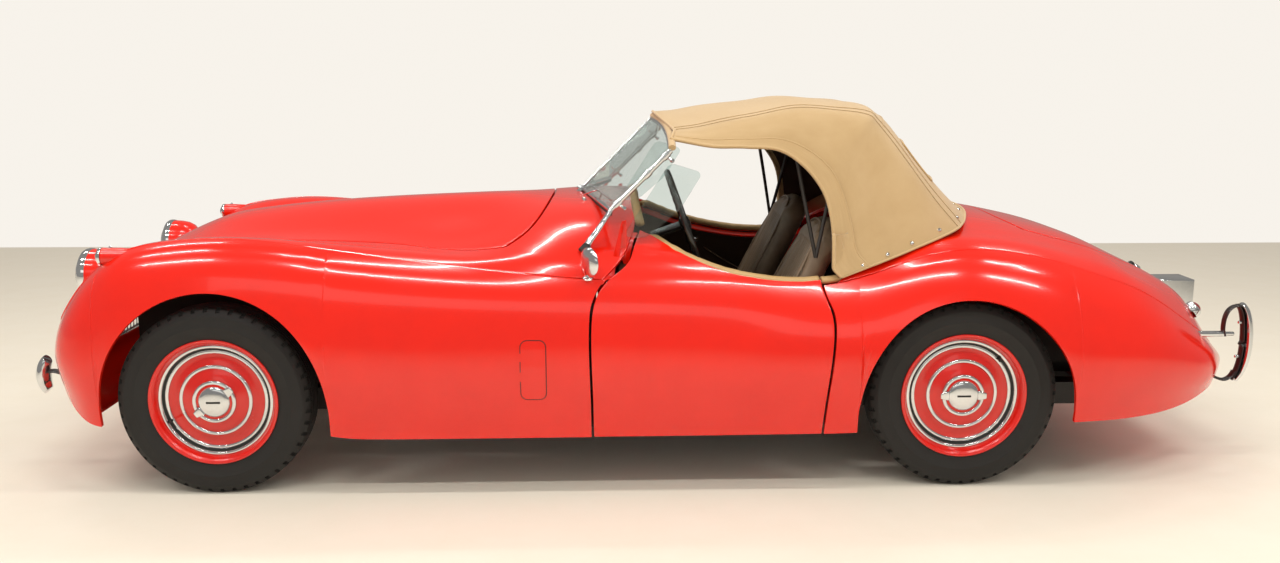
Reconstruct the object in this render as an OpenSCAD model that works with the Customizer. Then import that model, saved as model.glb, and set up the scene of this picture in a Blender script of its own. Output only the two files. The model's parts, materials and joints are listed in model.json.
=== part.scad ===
// Open two-seater sports car with a folding soft top, as an assembly of separate panels,
// running gear and cabin pieces. Millimetres, +Z up, wheels on Z = 0, nose towards -X,
// left side towards -Y, origin under the middle of the bounding box.

/* [Overall] */
// Front axle to rear axle
wheelbase = 2591; // [2150:1:3150]
// Front axle to the foremost bumper face
front_overhang = 722; // [600:1:870]
// Rear axle to the rearmost bumper face
rear_overhang = 1147; // [950:1:1380]
// Width over the wings
body_width = 1570; // [1300:1:1890]
// Height of the scuttle above the ground
scuttle_height = 976; // [810:1:1175]

/* [Wheels] */
// Outer diameter of a tyre
tyre_diameter = 660; // [545:1:795]
// Width of a tyre
tyre_width = 150; // [120:1:182]
// Diameter of a rim over its flanges
rim_diameter = 444; // [368:1:536]
// Distance between the front tyre centre lines
front_track = 1295; // [1200:1:1400]
// Distance between the rear tyre centre lines
rear_track = 1270; // [1180:1:1360]

/* [Panels] */
// Thickness of a wing, lid or shroud with its stiffening flanges
panel_t = 16; // [12:1:20]
// Thickness of a whole door
door_t = 60; // [48:1:74]
// Gap around a door or lid
shut_gap = 8; // [6:1:10]

/* [Soft top] */
// Height of the soft top above the ground
top_height = 1345; // [1250:1:1450]
// Thickness of the folded and lined cloth
cloth_t = 14; // [11:1:18]

/* [Hidden] */
LEFT = -1;
RIGHT = 1;
axle_front = (front_overhang - rear_overhang - wheelbase) / 2;
axle_rear = axle_front + wheelbase;
tyre_r = tyre_diameter / 2;
rim_r = rim_diameter / 2;
ky = body_width / 1570;
kz = scuttle_height / 976;

// Stations run from 0 at the front axle to 2591 at the rear axle, and stretch with the car.
function X(d) =
    d < 0 ? axle_front + d * front_overhang / 722
    : d <= 2591 ? axle_front + d * wheelbase / 2591
    : axle_rear + (d - 2591) * rear_overhang / 1147;

function station(x) =
    x < axle_front ? (x - axle_front) * 722 / front_overhang
    : x <= axle_rear ? (x - axle_front) * 2591 / wheelbase
    : 2591 + (x - axle_rear) * 1147 / rear_overhang;

// ---- smooth lines through a few points ----
function span(line, d, i = 0) = i >= len(line) - 2 || d < line[i + 1][0] ? i : span(line, d, i + 1);
function slope(line, i, k) =
    let (a = max(i - 1, 0), b = min(i + 1, len(line) - 1))
    (line[b][k] - line[a][k]) / (line[b][0] - line[a][0]);
function hermite(a, b, ma, mb, h, t) =
    a * (2 * t * t * t - 3 * t * t + 1) + ma * h * (t * t * t - 2 * t * t + t)
    + b * (3 * t * t - 2 * t * t * t) + mb * h * (t * t * t - t * t);
function at(line, d, k = 1) =
    let (
        c = min(max(d, line[0][0]), line[len(line) - 1][0]),
        i = span(line, c),
        h = line[i + 1][0] - line[i][0]
    )
    hermite(line[i][k], line[i + 1][k], slope(line, i, k), slope(line, i + 1, k), h, (c - line[i][0]) / h);

// ---- body lines: [station, y, z] of each lengthwise line of the half body ----
centre_line = [
    [-600, 0, 610], [-560, 0, 660], [-480, 0, 725], [-372, 0, 786], [-231, 0, 855], [-109, 0, 896],
    [252, 0, 940], [816, 0, 970], [1187, 0, 976], [1600, 0, 965], [2300, 0, 940], [2742, 0, 911],
    [2892, 0, 888], [3133, 0, 824], [3300, 0, 745], [3447, 0, 668], [3560, 0, 590], [3630, 0, 512],
    [3668, 0, 445]
];
valley_line = [
    [-600, 300, 600], [-457, 410, 705], [-300, 430, 795], [-100, 432, 835], [238, 445, 845],
    [600, 470, 838], [850, 490, 828], [1000, 495, 850], [1187, 500, 892], [1400, 500, 900],
    [2100, 480, 880], [2500, 470, 884], [2742, 455, 872], [2892, 450, 848], [3133, 430, 785],
    [3300, 400, 715], [3447, 350, 645], [3560, 300, 570], [3668, 220, 440]
];
crown_line = [
    [-600, 470, 560], [-560, 560, 600], [-457, 612, 724], [-356, 625, 810], [-270, 628, 853],
    [-120, 628, 877], [20, 628, 885], [180, 632, 876], [396, 642, 848], [700, 660, 808],
    [1000, 682, 775], [1300, 700, 749], [1740, 696, 732], [1950, 686, 718], [2104, 674, 722],
    [2250, 660, 752], [2400, 648, 803], [2500, 640, 829], [2600, 633, 839], [2745, 625, 828],
    [2900, 615, 797], [3057, 600, 746], [3214, 575, 694], [3330, 545, 634], [3440, 500, 562],
    [3560, 420, 490], [3668, 300, 415]
];
side_line = [
    [-600, 530, 480], [-575, 600, 478], [-540, 652, 478], [-490, 694, 480], [-400, 735, 500],
    [-250, 760, 530], [0, 772, 560], [400, 768, 550], [1300, 765, 520], [2100, 762, 520],
    [2400, 774, 535], [2650, 785, 540], [2950, 772, 510], [3214, 718, 470], [3406, 640, 430],
    [3560, 540, 390], [3668, 380, 362]
];
sill_line = [
    [-600, 500, 400], [-560, 590, 350], [-500, 650, 290], [-440, 695, 255], [-374, 715, 246],
    [0, 740, 240], [404, 742, 215], [460, 742, 204], [1300, 738, 204], [2090, 736, 208],
    [2250, 740, 214], [2600, 752, 225], [2960, 742, 244], [3196, 672, 236], [3406, 590, 250],
    [3583, 480, 296], [3668, 350, 330]
];
// The five points that carry the half section at a station: middle, valley, crown, side, sill
function knots(d) = [
    for (line = [centre_line, valley_line, crown_line, side_line, sill_line])
        [at(line, d, 1) * ky, at(line, d, 2) * kz]
];
function unit(v) = v / norm(v);
function tangent(p, i) =
    len(p[0]) == 3 ? unit(p[min(i + 1, len(p) - 1)] - p[max(i - 1, 0)])
    : i == 0 ? [1, 0]
    : i == len(p) - 1 ? unit(p[i] - p[i - 1])
    : let (a = norm(p[i] - p[i - 1]), b = norm(p[i + 1] - p[i]))
      unit((p[i] - p[i - 1]) / a * b + (p[i + 1] - p[i]) / b * a);
// A point of the half section, s = 0 in the middle, 1 valley, 2 crown, 3 side, 4 sill
function along(p, s) =
    let (i = max(min(floor(s), len(p) - 2), 0), h = norm(p[i + 1] - p[i]))
    hermite(p[i], p[i + 1], tangent(p, i), tangent(p, i + 1), h, s - i);
function inward(p, s) =
    s < 0.02 ? [0, -1]
    : let (a = along(p, max(s - 0.02, 0)), b = along(p, min(s + 0.02, 4))) unit([b[1] - a[1], a[0] - b[0]]);
// Where the half section reaches a width or a height, by halving
function s_at_y(p, y, lo = 0, hi = 2, n = 16) =
    n == 0 ? (lo + hi) / 2
    : let (m = (lo + hi) / 2) along(p, m)[0] < y ? s_at_y(p, y, m, hi, n - 1) : s_at_y(p, y, lo, m, n - 1);
function s_at_z(p, z, lo = 2, hi = 4, n = 16) =
    n == 0 ? (lo + hi) / 2
    : let (m = (lo + hi) / 2) along(p, m)[1] > z ? s_at_z(p, z, m, hi, n - 1) : s_at_z(p, z, lo, m, n - 1);
// A point on the left side, and one on the top, moved in by t
function side_point(d, s, t) = let (p = knots(d), c = along(p, s) + t * inward(p, s)) [X(d), -c[0], c[1]];
function top_at(d, y, t) =
    let (
        p = knots(d),
        s = abs(y) < 0.5 ? 0 : abs(y) > p[2][0] - 0.01 ? 2 : s_at_y(p, abs(y)),
        c = along(p, s) + t * inward(p, s)
    )
    [X(d), sign(y) * c[0], c[1]];

// Closed solid between an outer and an inner grid of points, both rows by columns.
// A ring's columns join up end to end.
module sheet(outer, inner, ring = false) {
    m = len(outer);
    n = len(outer[0]);
    k = m * n;
    last = ring ? n - 1 : n - 2;
    polyhedron(
        points = concat([for (row = outer, p = row) p], [for (row = inner, p = row) p]),
        faces = concat(
            [
                for (i = [0 : m - 2], j = [0 : last], f = [0 : 3])
                    let (a = i * n + j, b = i * n + (j + 1) % n, c = b + n, e = a + n)
                    f == 0 ? [a, b, c] : f == 1 ? [a, c, e]
                        : f == 2 ? [k + a, k + c, k + b] : [k + a, k + e, k + c]
            ],
            [
                for (j = [0 : last], f = [0 : 3])
                    let (a = j, b = (j + 1) % n, c = a + k - n, e = b + k - n)
                    f == 0 ? [b, a, k + a] : f == 1 ? [b, k + a, k + b]
                        : f == 2 ? [c, e, k + e] : [c, k + e, k + c]
            ],
            ring ? [] : [
                for (i = [0 : m - 2], f = [0 : 3])
                    let (a = i * n, b = a + n, c = a + n - 1, e = c + n)
                    f == 0 ? [a, b, k + b] : f == 1 ? [a, k + b, k + a]
                        : f == 2 ? [e, c, k + c] : [e, k + c, k + e]
            ]
        ),
        convexity = 8
    );
}

module on_side(side) {
    if (side == LEFT) children();
    else mirror([0, 1, 0]) children();
}

// ---- shut lines and arches ----
// [height, station] up the front and back of a door
door_front = [[190, 1297], [350, 1295], [520, 1290], [620, 1292], [684, 1300], [745, 1340]];
door_post = [[745, 1408], [820, 1428], [905, 1462], [1000, 1490]];
door_back = [[190, 2092], [350, 2104], [500, 2120], [590, 2126], [650, 2118], [700, 2092], [900, 2090]];
arch_front = [8, 300, 392, 421];
arch_rear = [2591, 280, 378, 404];
// Height of a wheel arch over a station
function arch_z(a, d) = a[1] + a[3] * sqrt(max(0, 1 - pow((d - a[0]) / a[2], 2)));
// Stations across an arch, close together where it is steep
function arch_stations(a, n) = [for (i = [0 : n]) a[0] - a[2] * cos(180 * i / n)];
function wing_foot(d, a, in_arch) =
    let (p = knots(d)) in_arch ? s_at_z(p, arch_z(a, d) * kz) : 4;
function side_column(d, foot, rows, t) =
    [for (j = [rows : -1 : 0]) side_point(d, 2 + (foot - 2) * j / rows, t)];
// A column whose points stop at a shut line, f of the way there from station d
function shut_column(d, line, gap, f, rows, t) = [
    for (j = [rows : -1 : 0])
        let (
            s = 2 + 2 * j / rows,
            z = along(knots(d + (line[2][1] - d) * f), s)[1] / kz,
            e = at(line, z) + gap
        )
        side_point(d + (e - d) * f, s, t)
];

module front_wing(side) {
    rows = 10;
    nose = [-600, -592, -578, -556, -525, -485, -440, -400, -384.5];
    hollow = arch_stations(arch_front, 14);
    back = [400.5, 470, 600, 760, 920, 1060];
    grids = [
        for (t = [0, panel_t])
            concat(
                [for (d = nose) side_column(d, 4, rows, t)],
                [for (d = hollow) side_column(d, wing_foot(d, arch_front, true), rows, t)],
                [for (d = back) side_column(d, 4, rows, t)],
                [for (f = [0.5, 1]) shut_column(1060, door_front, -shut_gap / 2, f, rows, t)]
            )
    ];
    color("#E3200F") on_side(side) sheet(grids[0], grids[1]);
}

module rear_wing(side) {
    rows = 10;
    hollow = arch_stations(arch_rear, 14);
    tail = [2969.5, 3030, 3100, 3180, 3260, 3340, 3410, 3470, 3530, 3580, 3620, 3650, 3668];
    grids = [
        for (t = [0, panel_t])
            concat(
                [for (f = [1, 0.5]) shut_column(2200, door_back, shut_gap / 2, f, rows, t)],
                [side_column(2212.5, 4, rows, t)],
                [for (d = hollow) side_column(d, wing_foot(d, arch_rear, true), rows, t)],
                [for (d = tail) side_column(d, 4, rows, t)]
            )
    ];
    color("#E3200F") on_side(side) sheet(grids[0], grids[1]);
}

// A door runs from the sill up over the crown to its inner edge beside the seats
door_inner = [[1440, 500], [1500, 528], [1596, 606], [1740, 661], [1872, 672], [2016, 668], [2100, 659]];
function door_s(d, j, low, high) =
    let (top = s_at_y(knots(d), at(door_inner, d) * ky))
    j <= low ? 4 - 2 * j / low : 2 - (2 - top) * (j - low) / high;
function door_grid(t, cols = 12, low = 8, high = 4) = [
    for (i = [0 : cols]) [
        for (j = [0 : low + high])
            let (
                guess = 1300 + 800 * i / cols,
                s0 = door_s(guess, j, low, high),
                z = along(knots(j <= low ? 1310 : 1440), s0)[1] / kz,
                front = (j <= low ? at(door_front, z) : at(door_post, z)) + shut_gap / 2,
                back = at(door_back, along(knots(2100), s0)[1] / kz) - shut_gap / 2,
                d = front + (back - front) * i / cols
            )
            side_point(d, door_s(d, j, low, high), t)
    ]
];

module door(side) {
    color("#E3200F") on_side(side) sheet(door_grid(0), door_grid(door_t));
}

// Padded strip inside the top edge of a door
capping_width = 34;
function capping_grid(t) = [
    for (i = [0 : 12]) [
        for (j = [0 : 4])
            let (
                d = 1492 + 588 * i / 12,
                p = knots(d),
                y = (at(door_inner, d) - 3 - capping_width * j / 4) * ky
            )
            side_point(d, s_at_y(p, y), t)
    ]
];

module door_capping(side) {
    color("#BFA070") on_side(side) sheet(capping_grid(-6), capping_grid(22));
}

// ---- lids and the shrouds around them ----
// A lid in plan: station of its front and back edges by [share of half width, station],
// and its half width by [share of length, y]
bonnet_front = [[0, -330], [0.6, -318], [1, -262]];
bonnet_back = [[0, 1142], [0.25, 1138], [0.6, 1116], [0.85, 1068], [1, 990]];
bonnet_width = [[0, 300], [0.12, 352], [0.4, 415], [0.66, 457], [0.85, 512], [1, 532]];
boot_front = [[0, 2836], [0.6, 2842], [1, 2890]];
boot_back = [[0, 3512], [0.6, 3500], [1, 3430]];
boot_width = [[0, 355], [0.2, 378], [0.6, 350], [1, 255]];
function lid_plan(lid, u, w, grow) =
    let (
        f = at(lid[0], abs(w)) - grow,
        b = at(lid[1], abs(w)) + grow
    )
    [f + (b - f) * u, w * (at(lid[2], u) * ky + grow)];
BONNET = [bonnet_front, bonnet_back, bonnet_width];
BOOT = [boot_front, boot_back, boot_width];

module lid(shape, rows, cols) {
    grids = [
        for (t = [0, panel_t]) [
            for (i = [0 : rows]) [
                for (j = [0 : cols])
                    let (q = lid_plan(shape, i / rows, 2 * j / cols - 1, -shut_gap / 2)) top_at(q[0], q[1], t)
            ]
        ]
    ];
    sheet(grids[0], grids[1]);
}

// Points around a patch: front edge, right side, back edge, left side, from above and anticlockwise
function around(nf, ns) = concat(
    [for (i = [0 : nf - 1]) [0, 1 - 2 * i / nf]],
    [for (i = [0 : ns - 1]) [i / ns, -1]],
    [for (i = [0 : nf - 1]) [1, -1 + 2 * i / nf]],
    [for (i = [0 : ns - 1]) [1 - i / ns, 1]]
);

// Panel around a lid opening, out to the crown lines and to its own front and back edges
module shroud(shape, front, back, rows, nf, ns) {
    loop = around(nf, ns);
    grids = [
        for (t = [0, panel_t]) [
            for (i = [0 : rows]) [
                for (c = loop)
                    let (
                        q = lid_plan(shape, c[0], c[1], shut_gap / 2),
                        f = at(front, abs(c[1])),
                        b = at(back, abs(c[1])),
                        d = f + (b - f) * c[0],
                        e = [d, c[1] * (at(crown_line, d) * ky - 2)],
                        r = i / rows,
                        g = q + (e - q) * r
                    )
                    top_at(g[0], g[1], t)
            ]
        ]
    ];
    sheet(grids[0], grids[1], true);
}

module front_shroud() {
    color("#E3200F") shroud(
        BONNET, [[0, -600], [1, -600]],
        [[0, 1440], [0.55, 1446], [0.68, 1450], [0.75, 1440], [0.88, 1412], [0.917, 1402], [1, 1333]],
        6, 24, 24
    );
}

module bonnet() {
    color("#E3200F") lid(BONNET, 14, 16);
}

module rear_shroud() {
    color("#E3200F") shroud(
        BOOT, [[0, 2640], [0.5, 2560], [0.8, 2380], [1, 2140]], [[0, 3668], [1, 3668]], 7, 16, 22
    );
}

module boot_lid() {
    color("#E3200F") lid(BOOT, 10, 14);
}

// Rolled-under panel between the feet of the wings, from a low edge forward to the nose or tail
module apron(stations, lip) {
    grids = [
        for (t = [0, panel_t]) [
            for (d = stations) [
                for (j = [-6 : 6])
                    let (p = knots(d)) [X(d), j / 6 * (p[4][0] - 18), p[4][1] + t * lip]
            ]
        ]
    ];
    sheet(grids[0], grids[1]);
}

module aprons() {
    color("#E3200F") {
        apron([-598, -580, -550, -510, -470, -440], 1);
        apron([3300, 3380, 3460, 3530, 3590, 3630, 3660], 1);
    }
}

module grille() {
    color("#C8CACC") {
        translate([X(-594), 0, 490 * kz]) rotate([0, 90, 0]) linear_extrude(14) difference() {
            scale([82 * kz, 470 * ky]) circle(r = 1, $fn = 12);
            scale([70 * kz, 456 * ky]) circle(r = 1, $fn = 12);
        }
        for (i = [-14 : 14]) {
            y = i * 29 * ky;
            h = 76 * kz * sqrt(1 - pow(y / (463 * ky), 2));
            translate([X(-590), y - 2, 490 * kz - h]) cube([8, 4, 2 * h]);
        }
    }
}

// ---- lamps ----
lamp_front = [-519, 385, 720];
sidelamp = [-372, 617, 822];

module headlamp(y) {
    translate([X(lamp_front[0]), y, lamp_front[2] * kz]) rotate([0, -90, 0]) rotate_extrude($fn = 64)
        polygon([
            [0, -110], [60, -105], [88, -70], [94, 0], [94, 14],
            [84, 22], [74, 22], [60, 36], [30, 48], [0, 52]
        ]);
}

// A round lamp in the nose of a torpedo pod that runs back along the crown of the wing
module sidelamp(y) {
    translate([X(sidelamp[0]), y, sidelamp[2] * kz]) rotate([0, -90, 0]) rotate_extrude($fn = 48)
        polygon([
            [0, -190], [12, -182], [22, -150], [29, -90], [31, -30],
            [30, 8], [22, 18], [10, 24], [0, 26]
        ]);
}

module front_lamps() {
    color("#DADDE0") for (s = [LEFT, RIGHT]) {
        headlamp(s * lamp_front[1] * ky);
        sidelamp(s * sidelamp[1] * ky);
    }
}

tail_lamp = [3580, 315, 552];
module tail_lamps() {
    color("#B02018") for (s = [LEFT, RIGHT])
        translate([X(tail_lamp[0]), s * tail_lamp[1] * ky, tail_lamp[2] * kz])
            rotate([0, 50, 0]) rotate_extrude($fn = 48)
                polygon([[0, -26], [26, -22], [32, 0], [32, 8], [24, 18], [10, 24], [0, 25]]);
}

// Hollow housing on the tail: level top, upright back wall with a lamp and two screw holes
plinth_side = [[3552, 617], [3712, 617], [3712, 486], [3664, 486]];
plinth_width = 130;
plinth_hole = [509, 45, 3.2];
plinth_lamp_z = 578;
module plinth_block(width, inset) {
    translate([0, width / 2, 0]) rotate([90, 0, 0]) linear_extrude(width) polygon([
        [X(plinth_side[0][0]) - 2 * inset, plinth_side[0][1] * kz - inset],
        [X(plinth_side[1][0]) - inset, plinth_side[1][1] * kz - inset],
        [X(plinth_side[2][0]) - inset, plinth_side[2][1] * kz - inset],
        [X(plinth_side[3][0]) - 4 * inset, plinth_side[3][1] * kz - inset]
    ]);
}
module plate_plinth() {
    back = X(plinth_side[1][0]);
    color("#D5D8DB") {
        difference() {
            plinth_block(plinth_width, 0);
            plinth_block(plinth_width - 16, 8);
            for (s = [LEFT, RIGHT])
                translate([back - 30, s * plinth_hole[1], plinth_hole[0] * kz])
                    rotate([0, 90, 0]) cylinder(h = 60, r = plinth_hole[2]);
        }
        translate([back + 0.5, 0, plinth_lamp_z * kz]) rotate([0, 90, 0]) rotate_extrude($fn = 48)
            polygon([[0, 0], [33, 0], [33, 6], [26, 12], [0, 15]]);
    }
}

// ---- bumpers ----
// An upright overrider whose face is at x, on an iron at arm_z that runs in to arm_end
module overrider(x, y, low, tall, arm_end, arm_z) {
    back = sign(arm_end - x);
    hull() {
        for (k = [-28, 28]) translate([x + back * 12, y + k, low]) cylinder(h = tall, r = 12, $fn = 24);
        translate([x + back * 46, y, low + 10]) cylinder(h = tall - 20, r = 16, $fn = 24);
    }
    arm_from = x + back * 40;
    translate([min(arm_from, arm_end), y - 12, arm_z - 18]) cube([abs(arm_end - arm_from), 24, 36]);
}

module overriders() {
    color("#DADDE0") for (s = [LEFT, RIGHT]) {
        overrider(axle_front - front_overhang, s * 450 * ky, 298, 128, X(-606), 362);
        overrider(axle_rear + rear_overhang, s * 450 * ky, 305, 300, X(3600), 490);
    }
}

// ---- windscreen ----
screen_foot = [1250, 0, 988];
screen_across = [112, 580, -18];
screen_up = [272, 0, 270];
function screen(u, v) =
    let (p = screen_foot + u * screen_across + v * (1 - 0.25 * u * u) * screen_up)
    [X(p[0]), p[1] * ky, p[2] * kz];

module bar(p, q, r) {
    hull() {
        translate(p) sphere(r = r, $fn = 12);
        translate(q) sphere(r = r, $fn = 12);
    }
}

module windscreen_frame() {
    color("#D5D8DB") {
        for (s = [LEFT, RIGHT]) scale([1, s, 1]) {
            bar(screen(0, 0), screen(0.5, 0), 9);
            bar(screen(0.5, 0), screen(1, 0), 9);
            bar(screen(1, 0), screen(1, 1), 11);
            bar(screen(1, 1), screen(0.5, 1), 9);
            bar(screen(0.5, 1), screen(0, 1), 9);
            hull() {
                translate(screen(1, 0)) sphere(r = 12, $fn = 12);
                translate([X(1270), 630 * ky, 835 * kz]) sphere(r = 12, $fn = 12);
            }
        }
        bar(screen(0, 0), screen(0, 1), 9);
    }
}

module pane(a, b, c, e, t) {
    hull() for (p = [a, b, c, e]) translate(p) sphere(r = t / 2, $fn = 8);
}

// Wind wing beside the screen, as two flat triangles
wing_corners = [[1404, 580, 880], [1484, 580, 874], [1604, 580, 976], [1680, 580, 1100], [1566, 580, 1135]];
function wing_point(i) = [X(wing_corners[i][0]), wing_corners[i][1] * ky, wing_corners[i][2] * kz];
wing_pane = [for (i = [1 : 3]) [wing_point(0), wing_point(i), wing_point(i + 1)]];

module screen_glass() {
    color([0.75, 0.85, 0.85, 0.35]) for (s = [LEFT, RIGHT]) scale([1, s, 1]) {
        pane(screen(0.03, 0.05), screen(0.97, 0.05), screen(0.97, 0.95), screen(0.03, 0.95), 5);
        for (q = wing_pane) pane(q[0], q[1], q[2], q[2], 5);
    }
}

// ---- soft top ----
// Lines that run back along the cloth, as [share of the way, station, y, z]
hood_centre = [
    [0, 1528, 0, 1287], [1, 1655, 0, 1305], [2, 1840, 0, 1328], [3, 2005, 0, 1345], [4, 2165, 0, 1340],
    [5, 2300, 0, 1322], [6, 2392, 0, 1270], [7, 2494, 0, 1150], [8, 2600, 0, 1030], [9, 2735, 0, 902]
];
hood_seam = [
    [0, 1588, 430, 1240], [1, 1700, 440, 1259], [2, 1850, 448, 1290], [3, 2010, 450, 1319],
    [4, 2160, 450, 1314], [5, 2280, 447, 1294], [6, 2335, 450, 1240], [7, 2425, 470, 1128],
    [8, 2515, 490, 1010], [9, 2608, 494, 896]
];
hood_side = [
    [0, 1582, 482, 1227], [1, 1706, 505, 1232], [2, 1840, 515, 1244], [3, 1975, 526, 1255],
    [4, 2090, 540, 1230], [5, 2175, 555, 1180], [6, 2222, 568, 1105], [7, 2272, 590, 1005],
    [8, 2320, 612, 905], [9, 2385, 630, 829]
];
hood_edge = [
    [0, 1574, 515, 1212], [1, 1715, 552, 1190], [2, 1835, 560, 1187], [3, 1947, 565, 1177],
    [4, 2030, 577, 1124], [5, 2090, 597, 1050], [6, 2119, 615, 972], [7, 2130, 637, 872],
    [8, 2126, 659, 786], [9, 2154, 672, 748]
];
hood_lift = top_height - 1345;
function hood_knot(line, u, side) =
    let (z = at(line, u, 3), share = min(1, max(0, (z - 760) / 400)))
    [X(at(line, u)), side * at(line, u, 2) * ky, z * kz + hood_lift * share];
function hood_knots(u) = [
    hood_knot(hood_edge, u, LEFT), hood_knot(hood_side, u, LEFT), hood_knot(hood_seam, u, LEFT),
    hood_knot(hood_centre, u, LEFT),
    hood_knot(hood_seam, u, RIGHT), hood_knot(hood_side, u, RIGHT), hood_knot(hood_edge, u, RIGHT)
];
// A point of the cloth, u from 0 at the header to 9 at the deck, s from 0 at one edge to 6 at the other
function top_point(u, s, t) =
    let (
        a = along(hood_knots(max(u - 0.05, 0)), s),
        b = along(hood_knots(min(u + 0.05, 9)), s),
        p = hood_knots(u),
        c = along(p, max(s - 0.05, 0)),
        e = along(p, min(s + 0.05, 6))
    )
    rest_on_deck(along(p, s) - t * unit(cross(e - c, a - b)), u, cloth_t - t + deck_gap);
// Cloth near its lower edge lies over the deck, never in it
deck_gap = 3;
function rest_on_deck(p, u, lift) =
    u < 7.5 ? p : [p[0], p[1], max(p[2], top_at(station(p[0]), p[1], 0)[2] + lift)];

module soft_top() {
    rows = 18;
    cols = 24;
    grids = [
        for (t = [0, cloth_t]) [
            for (i = [0 : rows]) [for (j = [0 : cols]) top_point(9 * i / rows, 6 * j / cols, t)]
        ]
    ];
    color("#CFB07E") sheet(grids[0], grids[1]);
}

module hood_frame() {
    color("#3A3A38") for (u = [1.4, 3.2, 5]) {
        bow = [for (j = [0 : 6]) top_point(u, 2 + j / 3, cloth_t + 10)];
        for (j = [0 : 5]) bar(bow[j], bow[j + 1], 6);
    }
}

// ---- cabin ----
column_slot = [350, 34];
column_slot_top = 852;
dash_low = 700;
module dashboard() {
    ys = concat(
        [for (i = [0 : 6]) -560 + 28 * i],
        [-column_slot[0] - column_slot[1] + 1, -column_slot[0] + column_slot[1] - 1],
        [-column_slot[0] + column_slot[1]],
        [for (i = [0 : 15]) -280 + 56 * i]
    );
    grids = [
        for (x = [X(1395), X(1430)]) [
            for (y = ys)
                let (
                    top = top_at(1432, y * ky, panel_t + 5),
                    low = (abs(y + column_slot[0]) < column_slot[1] ? column_slot_top : dash_low) * kz
                )
                [for (j = [0 : 3]) [x, top[1], low * (1 - j / 3) + top[2] * j / 3]]
        ]
    ];
    color("#8A2A1C") sheet(grids[0], grids[1]);
}

wheel_centre = [1634, -350, 891];
steering_r = 200;
column_tilt = 19;
column_length = 590;
module steering_wheel() {
    centre = [X(wheel_centre[0]), wheel_centre[1] * ky, wheel_centre[2] * kz];
    color("#1C1B1A") translate(centre) rotate([0, 90 - column_tilt, 0]) {
        rotate_extrude($fn = 64) translate([steering_r, 0]) circle(r = 12, $fn = 24);
        for (a = [0, 120, 240]) rotate([0, 0, a]) translate([20, -9, -4]) cube([steering_r - 28, 18, 6]);
        cylinder(h = 40, r = 32, center = true, $fn = 48);
        translate([0, 0, -column_length - 10]) cylinder(h = column_length, r = 16, $fn = 32);
    }
}

module seat(y) {
    translate([0, y, 0]) {
        hull() {
            translate([X(1500), -200, 310 * kz]) cube([430, 400, 80]);
            translate([X(1520), -185, 310 * kz]) cube([400, 370, 130]);
        }
        hull() {
            translate([X(1880), -200, 400 * kz]) cube([110, 400, 80]);
            translate([X(1975), -190, 900 * kz]) cube([85, 380, 60]);
            translate([X(1990), -150, 940 * kz]) cube([70, 300, 56]);
        }
    }
}

module seats() {
    color("#75655A") for (s = [LEFT, RIGHT]) seat(s * 372 * ky);
}

// Round mirror on a short stem that stands on the wing in front of the door
mirror_at = [1284, 724, 812];
mirror_turn = 35;
module door_mirror() {
    color("#D5D8DB") translate([X(mirror_at[0]), -mirror_at[1] * ky, mirror_at[2] * kz]) {
        rotate([0, 0, mirror_turn]) rotate([0, 90, 0]) cylinder(h = 22, r = 52, center = true, $fn = 48);
        translate([0, 0, -66]) cylinder(h = 26, r = 7, $fn = 24);
    }
}

// ---- running gear ----
rail_y = 305;
rail_ends = [-415, 3250];
jack_hole = [1250, 560, 16];
arm_end = 620;
module chassis_frame() {
    color("#1E1E1E") {
        for (s = [LEFT, RIGHT])
            translate([X(rail_ends[0]), s * rail_y * ky - 40, 190])
                cube([X(rail_ends[1]) - X(rail_ends[0]), 80, 85]);
        for (d = [-400, 620, 1300, 2060, 3170])
            translate([X(d), -rail_y * ky + 41, 200]) cube([70, 2 * (rail_y * ky - 41), 65]);
    }
}

// Arms from the rails out to the sills, with a socket for a lifting jack
module outriggers() {
    color("#1E1E1E") for (s = [LEFT, RIGHT]) difference() {
        translate([X(jack_hole[0]), s > 0 ? rail_y * ky + 41 : -arm_end * ky, 205])
            cube([60, (arm_end - rail_y) * ky - 41, 55]);
        translate([X(jack_hole[0]) + 30, s * jack_hole[1] * ky, 150]) cylinder(h = 160, r = jack_hole[2]);
    }
}

// Box between two stations, left side to right side, and two heights
module slab(d0, d1, y0, y1, z0, z1) {
    translate([X(d0), y0, z0]) cube([X(d1) - X(d0), y1 - y0, z1 - z0]);
}

module floor_pan() {
    cabin = [1033, 2140];
    tunnel = 150;
    boot = 3270;
    color("#2A2A28") {
        for (s = [LEFT, RIGHT]) on_side(s) {
            slab(cabin[0], cabin[1], -640 * ky, -tunnel - 14, 282, 294);
            slab(cabin[0], cabin[1], -655 * ky, -643 * ky, 215, 345);
            slab(cabin[0], cabin[1], -tunnel - 12, -tunnel, 282, 470);
            slab(-375, -90, -377 * ky, -367 * ky, 300, 640 * kz);
            slab(-85, 85, -377 * ky, -367 * ky, 480, 640 * kz);
            slab(90, 1015, -377 * ky, -367 * ky, 300, 640 * kz);
            slab(1020, 1031, -600 * ky, -tunnel - 14, 290, 770 * kz);
            slab(2155, 3080, -532 * ky, -522 * ky, 419, 640 * kz);
        }
        slab(cabin[0], cabin[1], -tunnel - 12, tunnel + 12, 472, 484);
        slab(1020, 1031, -tunnel - 12, tunnel + 12, 486, 770 * kz);
        slab(2142, 2153, -400 * ky, -60, 296, 403);
        slab(2142, 2153, 60, 400 * ky, 296, 403);
        slab(2142, boot, -520 * ky, 520 * ky, 405, 417);
        slab(2388, 2400, -520 * ky, 520 * ky, 419, 690 * kz);
    }
}

module engine_block() {
    color("#5E6B5E") slab(60, 765, -170, 170, 290, 720 * kz);
}

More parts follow.
